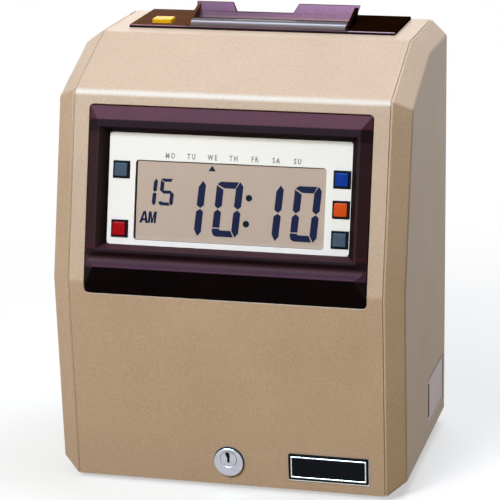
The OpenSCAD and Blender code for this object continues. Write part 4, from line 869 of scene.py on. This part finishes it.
# Transformer: bolts through the corners of the core
low, high = corners("transformer_core")
dress("transformer_core", 0.2)
bolts = spread(pan_screw(2.6, 1.5, 1.3, 3), [
    Matrix.Translation(Vector((x, low.y, z)) * MM) @ STAND_UP
    for x in (low.x + 4, high.x - 4) for z in (low.z + 3.6, high.z - 3.6)])
settle(bolts, "core_bolts", "chassis", zinc_steel)

# Standby cells: two wrapped cells with bright ends, in a tray with upright ends
low, high = corners("battery_pack")
cell_d = high.z - low.z - 1
cells, caps = [], []
for y in (low.y + 1 + cell_d / 2, high.y - 1 - cell_d / 2):
    place = Matrix.Translation(Vector((low.x, y, low.z + 1 + cell_d / 2)) * MM) @ ALONG_X
    cell = drum(cell_d / 2, 1.2, high.x - low.x - 1.2)
    soften(cell, 1.0, 3, 40)
    pick(cell, "FACE", lambda middle, normal: abs(normal.z) > 0.99)
    bpy.ops.mesh.inset(thickness=0.6 * MM, depth=0, use_individual=True)
    bpy.ops.mesh.inset(thickness=0.3 * MM, depth=-0.3 * MM, use_individual=True)
    leave_edit()
    cap = drum(2.6, 1.0, high.x - low.x - 1.0, sides=32)
    soften(cap, 0.3, 2, 40)
    for piece, group in ((cell, cells), (cap, caps)):
        piece.data.transform(place)
        group.append(piece)
settle(join(cells, "cells"), "battery_cells", "chassis", cell_wrap, ("battery_pack",))
settle(join(caps, "caps"), "battery_caps", "chassis", tin_lead)
trays = []
for x0, x1, top in ((low.x, high.x, 1.6), (low.x, low.x + 1, cell_d), (high.x - 1, high.x, cell_d)):
    wall = block((x0, low.y, low.z), (x1, high.y, low.z + top))
    soften(wall, 0.3, 2)
    trays.append(wall)
settle(join(trays, "tray"), "battery_tray", "chassis", black_abs_and_shade)


# Boards: chips, capacitors, resistors and plugs

def chip(length, width, height):
    """A moulded chip with a dot at its first leg, on z 0."""
    body = block((1 - length / 2, 1.2 - width / 2, 0.5), (length / 2 - 1, width / 2 - 1.2, height))
    soften(body, 0.3, 2)
    cut(body, drum(0.9, height - 0.25, height + 1, (2.8 - length / 2, 3.0 - width / 2), 20))
    return body


def chip_legs(length, width):
    """The two rows of bent legs of a chip."""
    foot = block((-0.3, width / 2 - 0.75, -0.05), (0.3, width / 2 - 0.35, 1.5))
    arm = block((-0.3, width / 2 - 1.4, 1.1), (0.3, width / 2 - 0.5, 1.5))
    for part in (foot, arm):
        soften(part, 0.1, 1)
    count = int((length - 4) / PIN_PITCH) + 1
    rows = [shift((i - (count - 1) / 2) * PIN_PITCH, 0) for i in range(count)]
    turn = Matrix.Rotation(math.pi, 4, "Z")
    return spread(join([foot, arm], "leg"), rows + [turn @ row for row in rows])


def board_kit(place, chips, resistors, plug):
    """Parts of one board, each list in mm on that board: bodies, leads, resistors, their bands and the plug."""
    bodies, leads = [], []
    for x, up, length, width in chips:
        tall = width > length
        turn = shift(x, up) @ Matrix.Rotation(math.pi / 2 if tall else 0, 4, "Z")
        long, wide = max(length, width), min(length, width)
        for piece, group in ((chip(long, wide, 3.0), bodies), (chip_legs(long, wide), leads)):
            piece.data.transform(turn)
            group.append(piece)
    bead = drum(0.95, -2.6, 2.6, sides=20)
    soften(bead, 0.45, 2, 40)
    wire = drum(0.3, -4.6, 4.6, sides=12)
    soften(wire, 0.1, 1, 40)
    band = drum(1.0, -0.3, 0.3, sides=20)
    soften(band, 0.08, 1, 40)
    rows = [shift(x, up, 1.0) @ ALONG_X for x, up in resistors]
    beads = spread(bead, rows)
    leads.append(spread(wire, rows))
    bands = spread(band, [row @ shift(0, 0, step) for row in rows for step in (-1.4, -0.4, 1.4)])
    x, up, length, width, height = plug
    shell = block((x - length / 2, up - width / 2, 0), (x + length / 2, up + width / 2, height))
    pick(shell, "FACE", lambda middle, normal: normal.z > 0.9)
    bpy.ops.mesh.inset(thickness=0.9 * MM, depth=-0.7 * height * MM)
    leave_edit()
    soften(shell, 0.2, 2)
    pin = block((-0.32, -0.32, 0.2), (0.32, 0.32, 0.9 * height))
    soften(pin, 0.15, 1)
    count = int((length - 4) / PIN_PITCH) + 1
    leads.append(spread(pin, [shift(x + (i - (count - 1) / 2) * PIN_PITCH, up) for i in range(count)]))
    made = [join(bodies, "kit"), join(leads, "kit"), beads, bands, shell]
    for piece in made:
        piece.data.transform(place)
    return made


main_chips = [(fx * MAIN_W, MAIN_LOW + fz * MAIN_H, fw * MAIN_W, fh * MAIN_H) for fx, fz, fw, fh in (
    (-0.3, 0.33, 0.19, 0.1), (0, 0.33, 0.24, 0.12), (0.28, 0.37, 0.12, 0.15), (-0.13, 0.7, 0.2, 0.08))]
main_resistors = [(-52 + 12 * (i % 3), MAIN_LOW + 56 + 5 * (i // 3)) for i in range(9)]
main_resistors += [(8 + 12 * i, MAIN_LOW + 19) for i in range(4)]
kits = {
    "main": ("chassis", board_kit(BOARD_FACE, main_chips, main_resistors, (-42.75, MAIN_LOW + 15.6, 34.5, 9, 5.5))),
    "hood": ("hood", board_kit(HOOD_BOARD_FACE, [(0, 62, 36, 13), (42, 62, 26, 10)],
                               [(-52 + 12 * i, 44) for i in range(5)], (-44, 66, 30, 7, 5)))}
KIT = (("chips", "black_plastic", black_abs_and_shade), ("leads", "steel", tin_lead), ("resistors", "board", resistor_lacquer),
       ("bands", "board", band_lacquer), ("plug", "gear_plastic", gear_nylon))
for board, (body, pieces) in kits.items():
    for (kind, slot, material), piece in zip(KIT, pieces):
        stands_for = ("board_parts",) if (board, kind) == ("main", "chips") else ()
        settle(piece, board + "_board_" + kind, body, material, stands_for)

# Capacitors: sleeved cans with a scored cross in their tops
CAN_UP = MAIN_LOW + 0.75 * MAIN_H
sleeves, tops = [], []
for share in (0.2, 0.29, 0.38):
    can_x = share * MAIN_W
    sleeve = drum(4.5, 0, 5.3, (can_x, CAN_UP), 36)
    soften(sleeve, 0.5, 3, 40)
    top = drum(3.7, 5.0, 5.5, (can_x, CAN_UP), 36)
    soften(top, 0.12, 2, 40)
    for half_x, half_up in ((0.25, 3.0), (3.0, 0.25)):
        cut(top, block((can_x - half_x, CAN_UP - half_up, 5.35), (can_x + half_x, CAN_UP + half_up, 6)))
    sleeves.append(sleeve)
    tops.append(top)
for group, name, slot, material in ((sleeves, "capacitor_sleeves", "cell_wrap", cell_wrap),
                                    (tops, "capacitor_tops", "steel", tin_lead)):
    piece = join(group, name)
    piece.data.transform(BOARD_FACE)
    settle(piece, name, "chassis", material)


# Camera, light and floor

AZIMUTH, ELEVATION, ROLL = math.radians(14.479), math.radians(16.323), math.radians(-0.970)
CAMERA_AT = (0.3642, -1.42277, 0.5701)
FOCAL_PX, FRAME_PX, SENSOR_MM = 2313.1, 500, 36
back = Vector((math.sin(AZIMUTH) * math.cos(ELEVATION), -math.cos(AZIMUTH) * math.cos(ELEVATION),
               math.sin(ELEVATION)))
right = Vector((math.cos(AZIMUTH), math.sin(AZIMUTH), 0))
up = back.cross(right)
side_axis = math.cos(ROLL) * right + math.sin(ROLL) * up
up_axis = math.cos(ROLL) * up - math.sin(ROLL) * right
camera = bpy.data.objects.new("camera", bpy.data.cameras.new("camera"))
bpy.context.scene.collection.objects.link(camera)
camera.matrix_world = Matrix.Translation(CAMERA_AT) @ Matrix(
    (side_axis, up_axis, back)).transposed().to_4x4()
camera.data.sensor_width = SENSOR_MM
camera.data.lens = FOCAL_PX / FRAME_PX * SENSOR_MM
camera.data.clip_start = 0.05
bpy.context.scene.camera = camera


def lamp(name, place, aim, size, watts, colour, gleam_only=False):
    """A round soft lamp; with gleam_only it shows in the gloss of a surface and doesn't light its colour."""
    data = bpy.data.lights.new(name, "AREA")
    data.shape = "DISK"
    data.size = size
    data.energy = watts
    data.color = linear(colour)[:3]
    obj = bpy.data.objects.new(name, data)
    bpy.context.scene.collection.objects.link(obj)
    obj.location = place
    obj.rotation_euler = (Vector(aim) - Vector(place)).to_track_quat("-Z", "Y").to_euler()
    obj.visible_diffuse = not gleam_only


# Key lamp for the form of the front, top lamp for the flat tops, ridge lamp for the gleam along the ridge, and two
# weak lamps that keep the back and the right side from going black
lamp("key_lamp", (-0.43, -1.27, 1.13), (0, -0.07, 0.17), 0.75, 22.5, "#fffaf8")
lamp("top_lamp", (0.3, 0.3, 1.55), (0, 0, 0.2), 0.9, 16.5, "#e8f0ff")
lamp("ridge_lamp", (-0.34, -0.8, 1.39), (0, -0.055, 0.256), 1.3, 140, "#b4e4ff", True)
lamp("rear_lamp", (-0.5, 1.5, 0.45), (0, 0.1, 0.15), 0.8, 5, "#fffaf6")
lamp("side_lamp", (0.75, 0.9, 0.12), (0.1, 0, 0.1), 0.4, 1.0, "#e6ecff")

# World: a little warm light on the object, plain white where it is seen or mirrored
world = bpy.data.worlds.new("studio")
bpy.context.scene.world = world
world.use_nodes = True
sky = world.node_tree
shade = sky.nodes["Background"]
shade.inputs["Color"].default_value = linear("#ffeec4")
shade.inputs["Strength"].default_value = 0.08


def seen_directly(tree):
    """One for rays of the camera and of mirror and glass, zero for the rest."""
    path = add(tree, "LightPath")
    first = add(tree, "Math", None, {0: (path, "Is Camera Ray"), 1: (path, "Is Glossy Ray")}, operation="MAXIMUM")
    return add(tree, "Math", None, {0: (first, 0), 1: (path, "Is Transmission Ray")}, operation="MAXIMUM")


bright = add(sky, "Background", {"Color": (1, 1, 1, 1), "Strength": 1.0})
both = add(sky, "MixShader", None, {0: (seen_directly(sky), 0), 1: (shade, 0), 2: (bright, 0)})
sky.links.new(both.outputs[0], sky.nodes["World Output"].inputs["Surface"])

# Floor: pale paper that goes over into the white background away from the object and keeps its shadow near it; it
# throws less light back at the object than it shows
floor = start("plane", size=8, location=(0, 0, 0))
floor.name = "floor"
floor_paper = finish("floor_pale_paper", ("#f6f6f4", "#fafaf8"), 400, (0.8, 0.9), 3, 0.01)
paper = floor_paper.node_tree
direct = seen_directly(paper)
spot = add(paper, "TexCoord")
distance = add(paper, "VectorMath", None, {0: (spot, "Object")}, operation="LENGTH")
fade = add(paper, "MapRange", {"From Min": 0.2, "From Max": 0.6, "To Min": 0.5, "To Max": 1.0},
           {"Value": (distance, "Value")})
white = add(paper, "Emission", {"Color": (1, 1, 1, 1), "Strength": 1.0})
shown = add(paper, "MixShader", None, {0: (fade, 0), 1: (paper.nodes["Principled BSDF"], 0), 2: (white, 0)})
dim = add(paper, "BsdfDiffuse", {"Color": linear("#8a7838")})
ground = add(paper, "MixShader", None, {0: (direct, 0), 1: (dim, 0), 2: (shown, 0)})
paper.links.new(ground.outputs[0], paper.nodes["Material Output"].inputs["Surface"])
floor.data.materials.append(floor_paper)

bpy.context.scene.view_settings.view_transform = "Standard"
